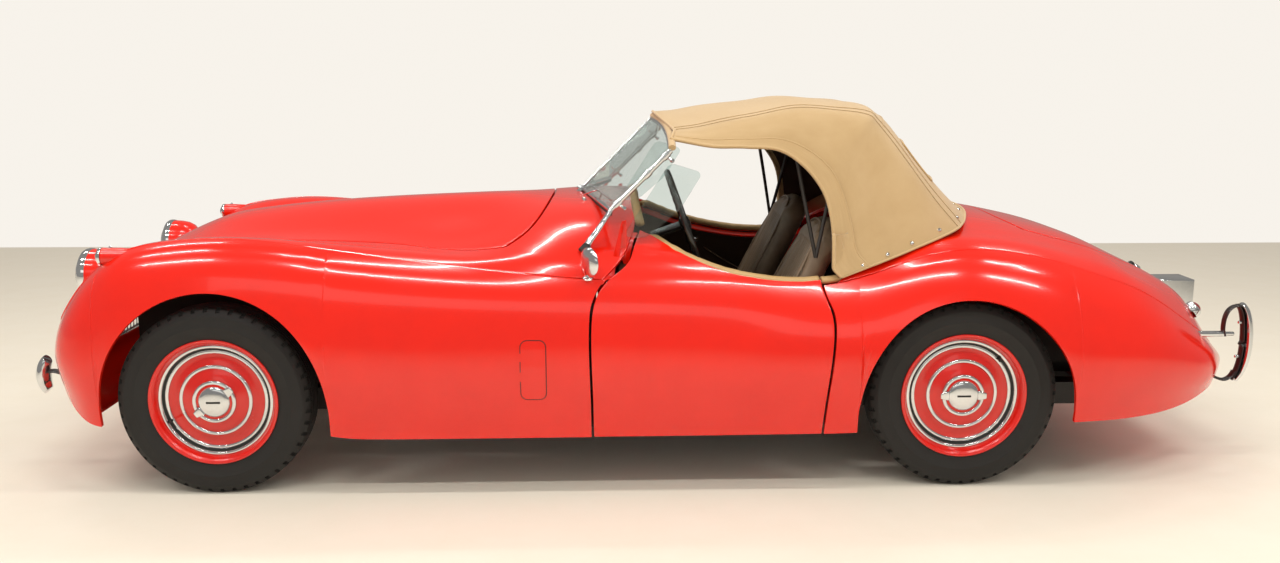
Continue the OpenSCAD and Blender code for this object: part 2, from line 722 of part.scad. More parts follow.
module driveline() {
    color("#6A6C6E") {
        slab(770, 1330, -110, 110, 300, 450);
        translate([X(1320), 0, 350]) rotate([0, 90, 0]) cylinder(h = X(2515) - X(1320), r = 38, $fn = 48);
    }
}

module exhaust_system() {
    color("#7A706A") {
        translate([X(900), 200, 158]) rotate([0, 90, 0]) cylinder(h = X(3520) - X(900), r = 22, $fn = 32);
        translate([X(1500), 200, 158]) rotate([0, 90, 0]) cylinder(h = 560, r = 38, $fn = 48);
    }
}

module fuel_tank() {
    color("#33322F") slab(2900, 3160, -230, 150, 285, 397);
}

axle_z = tyre_r;
module front_suspension() {
    color("#26262A") {
        translate([axle_front - 45, -264 * ky, 277]) cube([90, 528 * ky, 60]);
        for (s = [LEFT, RIGHT]) on_side(s) {
            translate([axle_front - 30, -505 * ky, axle_z - 130]) cube([60, (505 - rail_y) * ky - 41, 24]);
            translate([axle_front - 20, -505 * ky, axle_z + 100]) cube([40, 200 * ky, 20]);
            translate([axle_front - 40, -330 * ky, 339]) cube([80, 66 * ky, 90]);
            translate([axle_front - 40, -330 * ky, 277]) cube([80, 64 * ky, 64]);
        }
    }
}

module knuckle(side) {
    y = side * front_track / 2;
    color("#3A3A3E") {
        translate([axle_front, y - side * 110, axle_z - 100]) cylinder(h = 195, r = 20, $fn = 32);
        translate([axle_front, y, axle_z]) rotate([side * -90, 0, 0]) {
            translate([0, 0, -110]) cylinder(h = 120, r = 17, $fn = 32);
            translate([0, 0, -75]) cylinder(h = 40, r = drum_r, $fn = 64);
        }
    }
}

spring_half = 420;
spring_y = 430;
drum_r = 130;
drum_bore = 18.5;
module drum(x, y, side) {
    translate([x, y, axle_z]) rotate([side * -90, 0, 0]) difference() {
        cylinder(h = 40, r = drum_r, $fn = 64);
        translate([0, 0, -1]) cylinder(h = 42, r = drum_bore, $fn = 32);
    }
}

module rear_axle() {
    color("#2C2C30") {
        translate([axle_rear, 0, axle_z]) rotate([-90, 0, 0]) {
            cylinder(h = rear_track + 20, r = 17, center = true, $fn = 32);
            cylinder(h = rear_track - 160, r = 38, center = true, $fn = 48);
            cylinder(h = 140, r = 72, center = true, $fn = 48);
        }
        for (s = [LEFT, RIGHT])
            drum(axle_rear, s * (rear_track / 2 - 75), s);
        for (s = [LEFT, RIGHT])
            translate([axle_rear - spring_half, s * spring_y * ky - 25, axle_z - 72])
                cube([2 * spring_half, 50, 30]);
    }
}

module tyre(x, y) {
    b = rim_r - 17;
    w = tyre_width / 2;
    color("#2A2825") translate([x, y, axle_z]) rotate([90, 0, 0]) rotate_extrude($fn = 128)
        polygon([
            [b, -58], [rim_r + 8, -64], [rim_r + 50, -w], [tyre_r - 34, -w + 4],
            [tyre_r - 10, -w + 18], [tyre_r, -w + 36], [tyre_r, w - 36], [tyre_r - 10, w - 18],
            [tyre_r - 34, w - 4], [rim_r + 50, w], [rim_r + 8, 64], [b, 58]
        ]);
}

module wheel(x, y, side) {
    b = rim_r - 17;
    color("#D42014") translate([x, y, axle_z]) rotate([side * -90, 0, 0]) difference() {
        rotate_extrude($fn = 128) polygon([
            [0, 12], [60, 12], [118, 18], [165, 8], [b - 12, -6], [b - 12, -56], [b - 4, -62],
            [rim_r, -70], [rim_r, -62.6], [b, -58.5], [b, 58.5], [rim_r, 62.6], [rim_r, 70],
            [b - 4, 66], [b - 12, 60], [b - 24, 30], [170, 26], [120, 42], [75, 44], [55, 62], [0, 70]
        ]);
        translate([0, 0, -1]) cylinder(h = 24, r = 17.05, $fn = 32);
    }
}

chassis_frame();
floor_pan();
engine_block();
driveline();
exhaust_system();
fuel_tank();
front_suspension();
rear_axle();
outriggers();
knuckle(LEFT);  // knuckle_left
knuckle(RIGHT);  // knuckle_right
tyre(axle_front, -front_track / 2);  // tyre_front_left
tyre(axle_front, front_track / 2);  // tyre_front_right
tyre(axle_rear, -rear_track / 2);  // tyre_rear_left
tyre(axle_rear, rear_track / 2);  // tyre_rear_right
wheel(axle_front, -front_track / 2, LEFT);  // wheel_front_left
wheel(axle_front, front_track / 2, RIGHT);  // wheel_front_right
wheel(axle_rear, -rear_track / 2, LEFT);  // wheel_rear_left
wheel(axle_rear, rear_track / 2, RIGHT);  // wheel_rear_right
front_shroud();
bonnet();
front_wing(LEFT);  // front_wing_left
front_wing(RIGHT);  // front_wing_right
door(LEFT);  // door_left
door(RIGHT);  // door_right
rear_wing(LEFT);  // rear_wing_left
rear_wing(RIGHT);  // rear_wing_right
rear_shroud();
boot_lid();
aprons();
grille();
front_lamps();
tail_lamps();
overriders();
windscreen_frame();
screen_glass();
soft_top();
hood_frame();
dashboard();
steering_wheel();
seats();
door_capping(LEFT);  // door_capping_left
door_capping(RIGHT);  // door_capping_right
door_mirror();
plate_plinth();
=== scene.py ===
"""Open two-seater sports car with a folding soft top: the looks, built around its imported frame.

Lengths are metres in the row frame: nose towards -X, left side towards -Y, ground at Z = 0.
A station is a distance in millimetres behind the front axle, and `st` turns one into X.
"""

import json
import logging
import math
from dataclasses import dataclass
from enum import Enum
from typing import Callable, Sequence

import bmesh
import bpy
from mathutils import Matrix, Vector, noise
from mathutils.bvhtree import BVHTree

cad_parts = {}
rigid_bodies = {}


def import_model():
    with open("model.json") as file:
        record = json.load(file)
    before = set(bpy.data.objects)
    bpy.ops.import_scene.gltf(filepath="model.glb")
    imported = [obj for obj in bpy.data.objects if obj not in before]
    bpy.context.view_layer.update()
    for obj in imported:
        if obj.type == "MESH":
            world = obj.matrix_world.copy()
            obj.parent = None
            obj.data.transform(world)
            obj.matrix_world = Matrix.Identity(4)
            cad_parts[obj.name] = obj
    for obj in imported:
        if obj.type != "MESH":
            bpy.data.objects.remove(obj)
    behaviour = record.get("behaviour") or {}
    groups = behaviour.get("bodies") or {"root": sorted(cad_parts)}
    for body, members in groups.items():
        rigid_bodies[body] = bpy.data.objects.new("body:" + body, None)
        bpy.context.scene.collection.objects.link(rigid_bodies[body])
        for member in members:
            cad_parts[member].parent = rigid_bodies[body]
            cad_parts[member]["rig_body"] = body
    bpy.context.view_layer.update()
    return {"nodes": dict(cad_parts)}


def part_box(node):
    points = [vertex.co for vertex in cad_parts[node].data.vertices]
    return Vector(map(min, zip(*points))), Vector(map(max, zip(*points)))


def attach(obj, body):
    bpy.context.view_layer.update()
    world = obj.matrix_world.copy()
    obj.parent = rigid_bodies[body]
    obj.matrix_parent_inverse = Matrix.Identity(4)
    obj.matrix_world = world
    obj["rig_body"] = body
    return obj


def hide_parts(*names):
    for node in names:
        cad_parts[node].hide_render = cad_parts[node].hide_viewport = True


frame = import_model()

LOG = logging.getLogger("roadster")
MM = 0.001
FRONT_AXLE = -1.508
REAR_AXLE = 1.083
AXLE_Z = 0.33
Point = Sequence[float]


class Side(Enum):
    """The two sides of the car, with the sign of Y on each."""

    LEFT = -1
    RIGHT = 1

    @property
    def label(self) -> str:
        """The side's name, as it stands in the names of nodes and bodies."""
        return self.name.lower()


def st(station: float) -> float:
    """X in metres of a station in millimetres."""
    return FRONT_AXLE + station * MM


def mm(x: float, y: float, z: float) -> Vector:
    """Point from a station, a Y and a Z in millimetres."""
    return Vector((st(x), y * MM, z * MM))


# ---- finishes ----


def linear(code: str) -> tuple[float, float, float, float]:
    """Turns an sRGB hex colour to linear light.

    Args:
        code: six hex digits.

    Returns:
        Linear red, green and blue, and an alpha of one.
    """
    parts = [int(code[i : i + 2], 16) / 255 for i in (0, 2, 4)]
    low = [c / 12.92 if c <= 0.04045 else ((c + 0.055) / 1.055) ** 2.4 for c in parts]
    return low[0], low[1], low[2], 1.0


def add(tree: bpy.types.NodeTree, kind: str, sockets: dict, **settings: object) -> bpy.types.Node:
    """Adds a node with its settings, input values and links.

    Args:
        tree: the material's node tree.
        kind: the node's type after "ShaderNode".
        sockets: input name or number, to a value or to an output socket.
        settings: the node's own properties.

    Returns:
        The new node.
    """
    made = tree.nodes.new("ShaderNode" + kind)
    for key, value in settings.items():
        setattr(made, key, value)
    for key, value in sockets.items():
        if isinstance(value, bpy.types.NodeSocket):
            tree.links.new(value, made.inputs[key])
        else:
            made.inputs[key].default_value = value
    return made


class Pattern(Enum):
    """How a surface was made, which settles the texture it is given."""

    ENAMEL = "sprayed and polished"
    PLATE = "electroplated"
    CAST = "sand cast or hammered"
    WEAVE = "woven"
    GRAIN = "grained hide"
    RUBBER = "moulded rubber"
    PILE = "cut pile"
    CLEAR = "clear glass"
    RIBBED = "pressed lens glass"


@dataclass(frozen=True)
class Finish:
    """One finish: a base colour, the colour it drifts to, and its surface.

    pitch_mm is the spacing of the pattern, and relief_mm its depth.
    """

    name: str
    slot: str
    colour: str
    drift: str
    rough: float
    pattern: Pattern
    pitch_mm: float
    relief_mm: float
    metallic: float = 0.0
    coat: float = 0.0
    sheen: float = 0.0
    clear: float = 0.0
    rough_span: float = 0.08
    uv: bool = False

    def material(self) -> bpy.types.Material:
        """The material for this finish, made once and shared."""
        found = bpy.data.materials.get(self.name)
        if found:
            return found
        mat = bpy.data.materials.new(self.name)
        mat.use_nodes = True
        tree = mat.node_tree
        tree.nodes.clear()
        out = add(tree, "OutputMaterial", {})
        where = add(tree, "TexCoord", {}).outputs["UV" if self.uv else "Object"]
        drift = add(tree, "TexNoise", {"Vector": where, "Scale": 5.0, "Detail": 4.0, "Roughness": 0.6})
        share = add(tree, "MapRange", {0: drift.outputs["Fac"], 1: 0.35, 2: 0.7, 3: 0.0, 4: 1.0})
        height, tone = self._relief(tree, where)
        blend = add(tree, "Math", {0: share.outputs[0], 1: tone}, operation="MULTIPLY_ADD")
        blend.inputs[2].default_value = 0.0
        if self.pattern in (Pattern.WEAVE, Pattern.GRAIN, Pattern.PILE, Pattern.RUBBER):
            blend = add(tree, "Math", {0: share.outputs[0], 1: tone}, operation="ADD")
            blend = add(tree, "Math", {0: blend.outputs[0], 1: 0.5}, operation="MULTIPLY")
        colour = add(
            tree, "Mix",
            {"Factor": blend.outputs[0], 6: linear(self.colour), 7: linear(self.drift)},
            data_type="RGBA",
        )
        rough = add(
            tree, "MapRange",
            {
                0: drift.outputs["Fac"], 1: 0.3, 2: 0.75, 3: self.rough,
                4: min(1.0, self.rough + self.rough_span)
            },
        )
        bump = add(tree, "Bump", {"Height": height, "Distance": self.relief_mm * MM, "Strength": 1.0})
        skin = add(
            tree, "BsdfPrincipled",
            {
                "Base Color": colour.outputs[2], "Roughness": rough.outputs[0], "Metallic": self.metallic,
                "Coat Weight": self.coat, "Coat Roughness": 0.03, "Sheen Weight": self.sheen,
                "Transmission Weight": self.clear, "Normal": bump.outputs[0],
            },
        )
        tree.links.new(skin.outputs[0], out.inputs[0])
        mat.diffuse_color = linear(self.colour)
        return mat

    def _relief(self, tree: bpy.types.NodeTree, where: bpy.types.NodeSocket) -> tuple:
        """Builds the pattern's height.

        Args:
            tree: the material's node tree.
            where: the coordinates the pattern reads.

        Returns:
            The socket of its height, and the socket of its tone.
        """
        scale = 1 / (self.pitch_mm * MM)
        fine = add(tree, "TexNoise", {"Vector": where, "Scale": scale, "Detail": 3.0, "Roughness": 0.55})
        if self.pattern is Pattern.WEAVE:
            threads = [
                add(
                    tree, "TexWave",
                    {"Vector": where, "Scale": scale / 2, "Distortion": 0.35, "Detail": 1.0},
                    bands_direction=axis,
                ).outputs["Fac"]
                for axis in ("X", "Y")
            ]
            weave = add(tree, "Math", {0: threads[0], 1: threads[1]}, operation="MULTIPLY")
            fuzz = add(tree, "Math", {0: weave.outputs[0], 1: fine.outputs["Fac"]}, operation="ADD")
            return fuzz.outputs[0], weave.outputs[0]
        if self.pattern is Pattern.GRAIN:
            cells = add(tree, "TexVoronoi", {"Vector": where, "Scale": scale}, feature="DISTANCE_TO_EDGE")
            crease = add(tree, "TexNoise", {"Vector": where, "Scale": 30.0, "Detail": 5.0, "Roughness": 0.7})
            both = add(
                tree, "Math", {0: cells.outputs["Distance"], 1: crease.outputs["Fac"]}, operation="ADD"
            )
            return both.outputs[0], crease.outputs["Fac"]
        if self.pattern is Pattern.RIBBED:
            ribs = add(
                tree, "TexWave", {"Vector": where, "Scale": scale / 2, "Distortion": 0.0},
                bands_direction="Y", wave_profile="SIN",
            )
            return ribs.outputs["Fac"], fine.outputs["Fac"]
        if self.pattern in (Pattern.CAST, Pattern.PILE):
            lumps = add(tree, "TexVoronoi", {"Vector": where, "Scale": scale}, feature="SMOOTH_F1")
            return lumps.outputs["Distance"], fine.outputs["Fac"]
        return fine.outputs["Fac"], fine.outputs["Fac"]


# Cellulose enamel, sprayed and flatted: deep gloss under a faint orange peel
PAINT = Finish(
    "red_enamel", "body_paint", "E41B04", "D61603", 0.16, Pattern.ENAMEL, 3.0, 0.012, coat=0.45,
    rough_span=0.04
)
WHEEL_PAINT = Finish(
    "wheel_enamel", "wheel_paint", "D81506", "BE0F05", 0.2, Pattern.ENAMEL, 3.0, 0.015, coat=0.6
)
# Nickel and chromium plate, polished: mirror bright with faint wiping marks
CHROME = Finish("polished_chrome", "chrome", "E2E4E6", "C9CCCE", 0.05, Pattern.PLATE, 9.0, 0.01, metallic=1.0)
LAMP_CHROME = Finish(
    "lamp_chrome_plate", "lamp_chrome", "E6E8EA", "D0D3D5", 0.04, Pattern.PLATE, 9.0, 0.01, metallic=1.0
)
# Vulcanised rubber with a film of dust in its pores
RUBBER = Finish("tyre_rubber", "tyre", "161514", "24211E", 0.62, Pattern.RUBBER, 2.0, 0.25, rough_span=0.2)
PAD_RUBBER = Finish("pad_rubber", "chrome", "151413", "26231F", 0.6, Pattern.RUBBER, 1.5, 0.1)
# Double-duck hood cloth; its half-millimetre threads are drawn 4 mm apart so that they show
HOOD_CLOTH = Finish(
    "hood_duck", "hood_cloth", "BC9E72", "B09164", 0.82, Pattern.WEAVE, 4.0, 0.25, sheen=0.25, uv=True
)
LINING = Finish(
    "hood_lining_cloth", "hood_cloth", "3B2618", "2A1A10", 0.9, Pattern.WEAVE, 4.0, 0.2, sheen=0.15, uv=True
)
# Pigmented hide: satin, with a pebble grain a few millimetres across
CAPPING = Finish("tan_hide", "capping_cloth", "C4A270", "A98858", 0.5, Pattern.GRAIN, 4.0, 0.25)
SEAT_HIDE = Finish(
    "brown_hide", "seat_leather", "8C7660", "6C5843", 0.4, Pattern.GRAIN, 5.0, 0.3, rough_span=0.15
)
DARK_HIDE = Finish("dark_hide", "dash_leather", "35200F", "22140A", 0.45, Pattern.GRAIN, 5.0, 0.3)
CARPET = Finish("brown_carpet", "dash_leather", "3A2615", "25170C", 0.95, Pattern.PILE, 4.0, 1.2, sheen=0.3)
BAKELITE = Finish(
    "black_bakelite", "steering_black", "141312", "201E1C", 0.22, Pattern.ENAMEL, 4.0, 0.02, coat=0.4
)
# Toughened glass with the grey-green cast of its iron
GLASS = Finish(
    "screen_clear", "glass", "DCE8E6", "E6EFED", 0.0, Pattern.CLEAR, 60.0, 0.0, clear=1.0, rough_span=0.01
)
LAMP_GLASS = Finish(
    "lamp_lens", "lamp_chrome", "F4F6F6", "E8ECEC", 0.02, Pattern.RIBBED, 9.0, 0.6, clear=0.85
)
TAIL_LENS = Finish(
    "red_lens", "tail_lens", "B3140C", "8A0D08", 0.08, Pattern.RIBBED, 6.0, 0.4, clear=0.35, coat=0.5
)
STICK = Finish("stick_enamel", "hood_sticks", "2A2522", "3A3430", 0.4, Pattern.ENAMEL, 4.0, 0.05)
IRON = Finish("bumper_iron_black", "chrome", "1C1210", "2A1B16", 0.38, Pattern.ENAMEL, 4.0, 0.05, coat=0.2)
CHASSIS = Finish("chassis_black", "chassis", "1B1A19", "2B2723", 0.45, Pattern.CAST, 6.0, 0.15)
UNDERSEAL = Finish("underbody_black", "underbody", "1A1918", "2C2824", 0.8, Pattern.CAST, 5.0, 0.4)
ENGINE = Finish("engine_green", "engine", "4A5648", "343C33", 0.5, Pattern.CAST, 5.0, 0.3)
ALLOY = Finish("cast_alloy", "castings", "8E9092", "6E7073", 0.42, Pattern.CAST, 3.0, 0.15, metallic=0.9)
EXHAUST = Finish("heated_steel", "exhaust", "7B6F66", "52423A", 0.45, Pattern.CAST, 8.0, 0.1, metallic=0.9)
FLOOR = Finish("studio_floor", "", "E9E1D2", "E4DBCA", 0.45, Pattern.ENAMEL, 8.0, 0.02)


# ---- shaping ----


def aim(at: Point, direction: Point) -> Matrix:
    """Placement whose Z axis points in a direction from a point."""
    turn = Vector(direction).to_track_quat("Z", "Y").to_matrix().to_4x4()
    return Matrix.Translation(Vector(at)) @ turn


def lathe(profile: Sequence[tuple[float, float]], place: Matrix, steps: int = 96) -> bmesh.types.BMesh:
    """Spins a profile a full turn about its own Z axis.

    Args:
        profile: radius and height of each point, in millimetres.
        place: where the axis goes.
        steps: faces round the turn.

    Returns:
        The turned shape.
    """
    bm = bmesh.new()
    verts = [bm.verts.new((r * MM, 0.0, h * MM)) for r, h in profile]
    edges = [bm.edges.new(pair) for pair in zip(verts, verts[1:])]
    bmesh.ops.spin(
        bm, geom=verts + edges, cent=(0, 0, 0), axis=(0, 0, 1), angle=math.tau, steps=steps, use_merge=True
    )
    bmesh.ops.remove_doubles(bm, verts=bm.verts, dist=1e-6)
    bmesh.ops.dissolve_degenerate(bm, dist=1e-7, edges=bm.edges)
    bmesh.ops.recalc_face_normals(bm, faces=bm.faces)
    bmesh.ops.transform(bm, matrix=place, verts=bm.verts)
    return bm


def tube(
    points: Sequence[Vector], radius: float | Sequence[float], sides: int = 12, closed: bool = False, flat: float = 1.0
) -> bmesh.types.BMesh:
    """Bridges circles along a line of points.

    Args:
        points: the line, in metres.
        radius: one radius in metres, or one for each point.
        sides: faces round the tube.
        closed: whether the line's ends join.
        flat: height of the section, as a share of its width.

    Returns:
        The tube, capped where it is open.
    """
    bm = bmesh.new()
    rings = []
    count = len(points)
    for i, point in enumerate(points):
        before = points[i - 1] if i or closed else point
        after = points[(i + 1) % count] if i < count - 1 or closed else point
        size = radius[i] if isinstance(radius, (list, tuple)) else radius
        place = aim(point, after - before) @ Matrix.Diagonal((1.0, flat, 1.0, 1.0))
        ring = bmesh.ops.create_circle(bm, segments=sides, radius=size, matrix=place)["verts"]
        rings.append(list({e for v in ring for e in v.link_edges}))
    pairs = list(zip(rings, rings[1:])) + ([(rings[-1], rings[0])] if closed else [])
    for a, b in pairs:
        bmesh.ops.bridge_loops(bm, edges=a + b)
    if not closed:
        bmesh.ops.edgeloop_fill(bm, edges=rings[0])
        bmesh.ops.edgeloop_fill(bm, edges=rings[-1])
    bmesh.ops.recalc_face_normals(bm, faces=bm.faces)
    return bm


def smooth_line(points: Sequence[Vector], steps: int = 6) -> list[Vector]:
    """Puts more points on a smooth line through the ones given."""
    count = len(points)
    line = []
    for i in range(count - 1):
        a, b, c, d = (points[max(0, min(count - 1, i + k))] for k in (-1, 0, 1, 2))
        for j in range(steps):
            t = j / steps
            line.append(
                0.5 * (
                    2 * b + (c - a) * t + (2 * a - 5 * b + 4 * c - d) * t**2 + (3 * b - a - 3 * c + d) * t**3
                )
            )
    return line + [points[-1].copy()]


def block(low: Point, high: Point, bevel: float, segments: int = 3) -> bmesh.types.BMesh:
    """Box between two corners with rounded edges."""
    bm = bmesh.new()
    size = Vector(high) - Vector(low)
    place = Matrix.Translation((Vector(high) + Vector(low)) / 2) @ Matrix.Diagonal((*size, 1.0))
    bmesh.ops.create_cube(bm, size=1.0, matrix=place)
    bmesh.ops.bevel(
        bm, geom=bm.edges[:], offset=bevel, segments=segments, profile=0.5, affect="EDGES", material=-1
    )
    return bm


def patch(columns: int, rows: int, at: Callable[[float, float], Vector]) -> bmesh.types.BMesh:
    """Grid laid on a surface.

    Args:
        columns: faces along u.
        rows: faces along v.
        at: the point for a u and v from 0 to 1.

    Returns:
        The grid, with a UV map in shares of the surface.
    """
    bm = bmesh.new()
    layer = bm.loops.layers.uv.new("UVMap")
    bmesh.ops.create_grid(bm, x_segments=columns, y_segments=rows, size=0.5)
    where = {v: (v.co.x + 0.5, v.co.y + 0.5) for v in bm.verts}
    for face in bm.faces:
        for loop in face.loops:
            loop[layer].uv = where[loop.vert]
    for vert, (u, v) in where.items():
        vert.co = at(u, v)
    return bm


def join(parts: Sequence[bmesh.types.BMesh]) -> bmesh.types.BMesh:
    """Puts several shapes in one mesh."""
    whole = bmesh.new()
    for part in parts:
        held = bpy.data.meshes.new("held")
        part.to_mesh(held)
        part.free()
        whole.from_mesh(held)
        bpy.data.meshes.remove(held)
    return whole


def piece(
    bm: bmesh.types.BMesh, name: str, finish: Finish, body: str = "car", stands_for: Sequence[str] = (),
    sharp: float = 38.0, wall: float = 0.0, subdivide: int = 0,
) -> bpy.types.Object:
    """Args:
        bm: the shape, which is used up.
        name: the piece's name.
        finish: its finish.
        body: the CAD body it rides on.
        stands_for: CAD nodes it replaces.
        sharp: angle in degrees past which an edge stays sharp.
        wall: thickness given to an open sheet, inwards.
        subdivide: subdivision levels.

    Returns:
        The new object.
    """
    if wall:
        bm.normal_update()
        bmesh.ops.solidify(bm, geom=bm.faces[:], thickness=wall)
        bmesh.ops.recalc_face_normals(bm, faces=bm.faces)
    for face in bm.faces:
        face.smooth = True
    for edge in bm.edges:
        edge.smooth = not (len(edge.link_faces) == 2 and edge.calc_face_angle(0.0) > math.radians(sharp))
    mesh = bpy.data.meshes.new(name)
    bm.to_mesh(mesh)
    bm.free()
    obj = bpy.data.objects.new(name, mesh)
    bpy.context.scene.collection.objects.link(obj)
    mesh.materials.append(finish.material())
    if subdivide:
        soft = obj.modifiers.new("soft", "SUBSURF")
        soft.levels = soft.render_levels = subdivide
    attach(obj, body)
    if stands_for:
        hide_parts(*stands_for)
    LOG.info("%s: %d faces on %s", name, len(mesh.polygons), body)
    return obj


@dataclass
class Skin:
    """Finds points on the CAD panels."""

    nodes: tuple[str, ...]

    def __post_init__(self) -> None:
        """Builds the search tree over the nodes' faces."""
        verts: list[Vector] = []
        faces: list[tuple[int, ...]] = []
        for name in self.nodes:
            mesh = frame["nodes"][name].data
            start = len(verts)
            verts += [v.co.copy() for v in mesh.vertices]
            faces += [tuple(start + i for i in p.vertices) for p in mesh.polygons]
        self.tree = BVHTree.FromPolygons(verts, faces)

    def cast(self, start: Point, direction: Point) -> tuple[Vector, Vector]:
        """First point met from a start in a direction, and the normal there that faces the start."""
        way = Vector(direction).normalized()
        hit, normal, _, _ = self.tree.ray_cast(Vector(start), way)
        if hit is None:
            hit, normal, _, _ = self.tree.find_nearest(Vector(start))
        return hit, (normal if normal.dot(way) < 0 else -normal)

    def top(self, x: float, y: float, lift: float = 0.0) -> Vector:
        """Point on the panels below (x, y), raised by lift along their normal."""
        hit, normal = self.cast((x, y, 2.0), (0, 0, -1))
        return hit + normal * lift

    def flank(self, x: float, z: float, side: Side, lift: float = 0.0) -> Vector:
        """Point on the panels seen from outside at (x, z), moved outwards by lift."""
        hit, normal = self.cast((x, side.value * 1.5, z), (0, -side.value, 0))
        return hit + normal * lift


# ---- coachwork ----

CROWN = (
    (
        -600, 470, 560
    ), (-560, 560, 600), (-457, 612, 724), (-356, 625, 810), (-270, 628, 853), (-120, 628, 877),
    (20, 628, 885), (180, 632, 876), (396, 642, 848), (700, 660, 808), (1000, 682, 775), (1300, 700, 749),
    (
        1740, 696, 732
    ), (1950, 686, 718), (2104, 674, 722), (2250, 660, 752), (2400, 648, 803), (2500, 640, 829),
    (
        2600, 633, 839
    ), (2745, 625, 828), (2900, 615, 797), (3057, 600, 746), (3214, 575, 694), (3330, 545, 634),
    (3440, 500, 562), (3560, 420, 490), (3668, 300, 415),
)


def between(table: Sequence[Sequence[float]], key: float) -> list[float]:
    """Smooth value of a table's columns at a key in its first column.

    Args:
        table: rows whose first number rises.
        key: where to read.

    Returns:
        The other columns' values there.
    """
    last = len(table) - 1
    key = min(max(key, table[0][0]), table[-1][0])
    i = max(k for k in range(last) if table[k][0] <= key)
    a, b, c, d = (table[max(0, min(last, i + k))] for k in (-1, 0, 1, 2))
    h = c[0] - b[0]
    t = (key - b[0]) / h
    values = []
    for k in range(1, len(b)):
        into = (c[k] - a[k]) / (c[0] - a[0]) * h
        out = (d[k] - b[k]) / (d[0] - b[0]) * h
        values.append(
            b[k] * (2 * t**3 - 3 * t**2 + 1) + into * (t**3 - 2 * t**2 + t)
            + c[k] * (3 * t**2 - 2 * t**3) + out * (t**3 - t**2)
        )
    return values


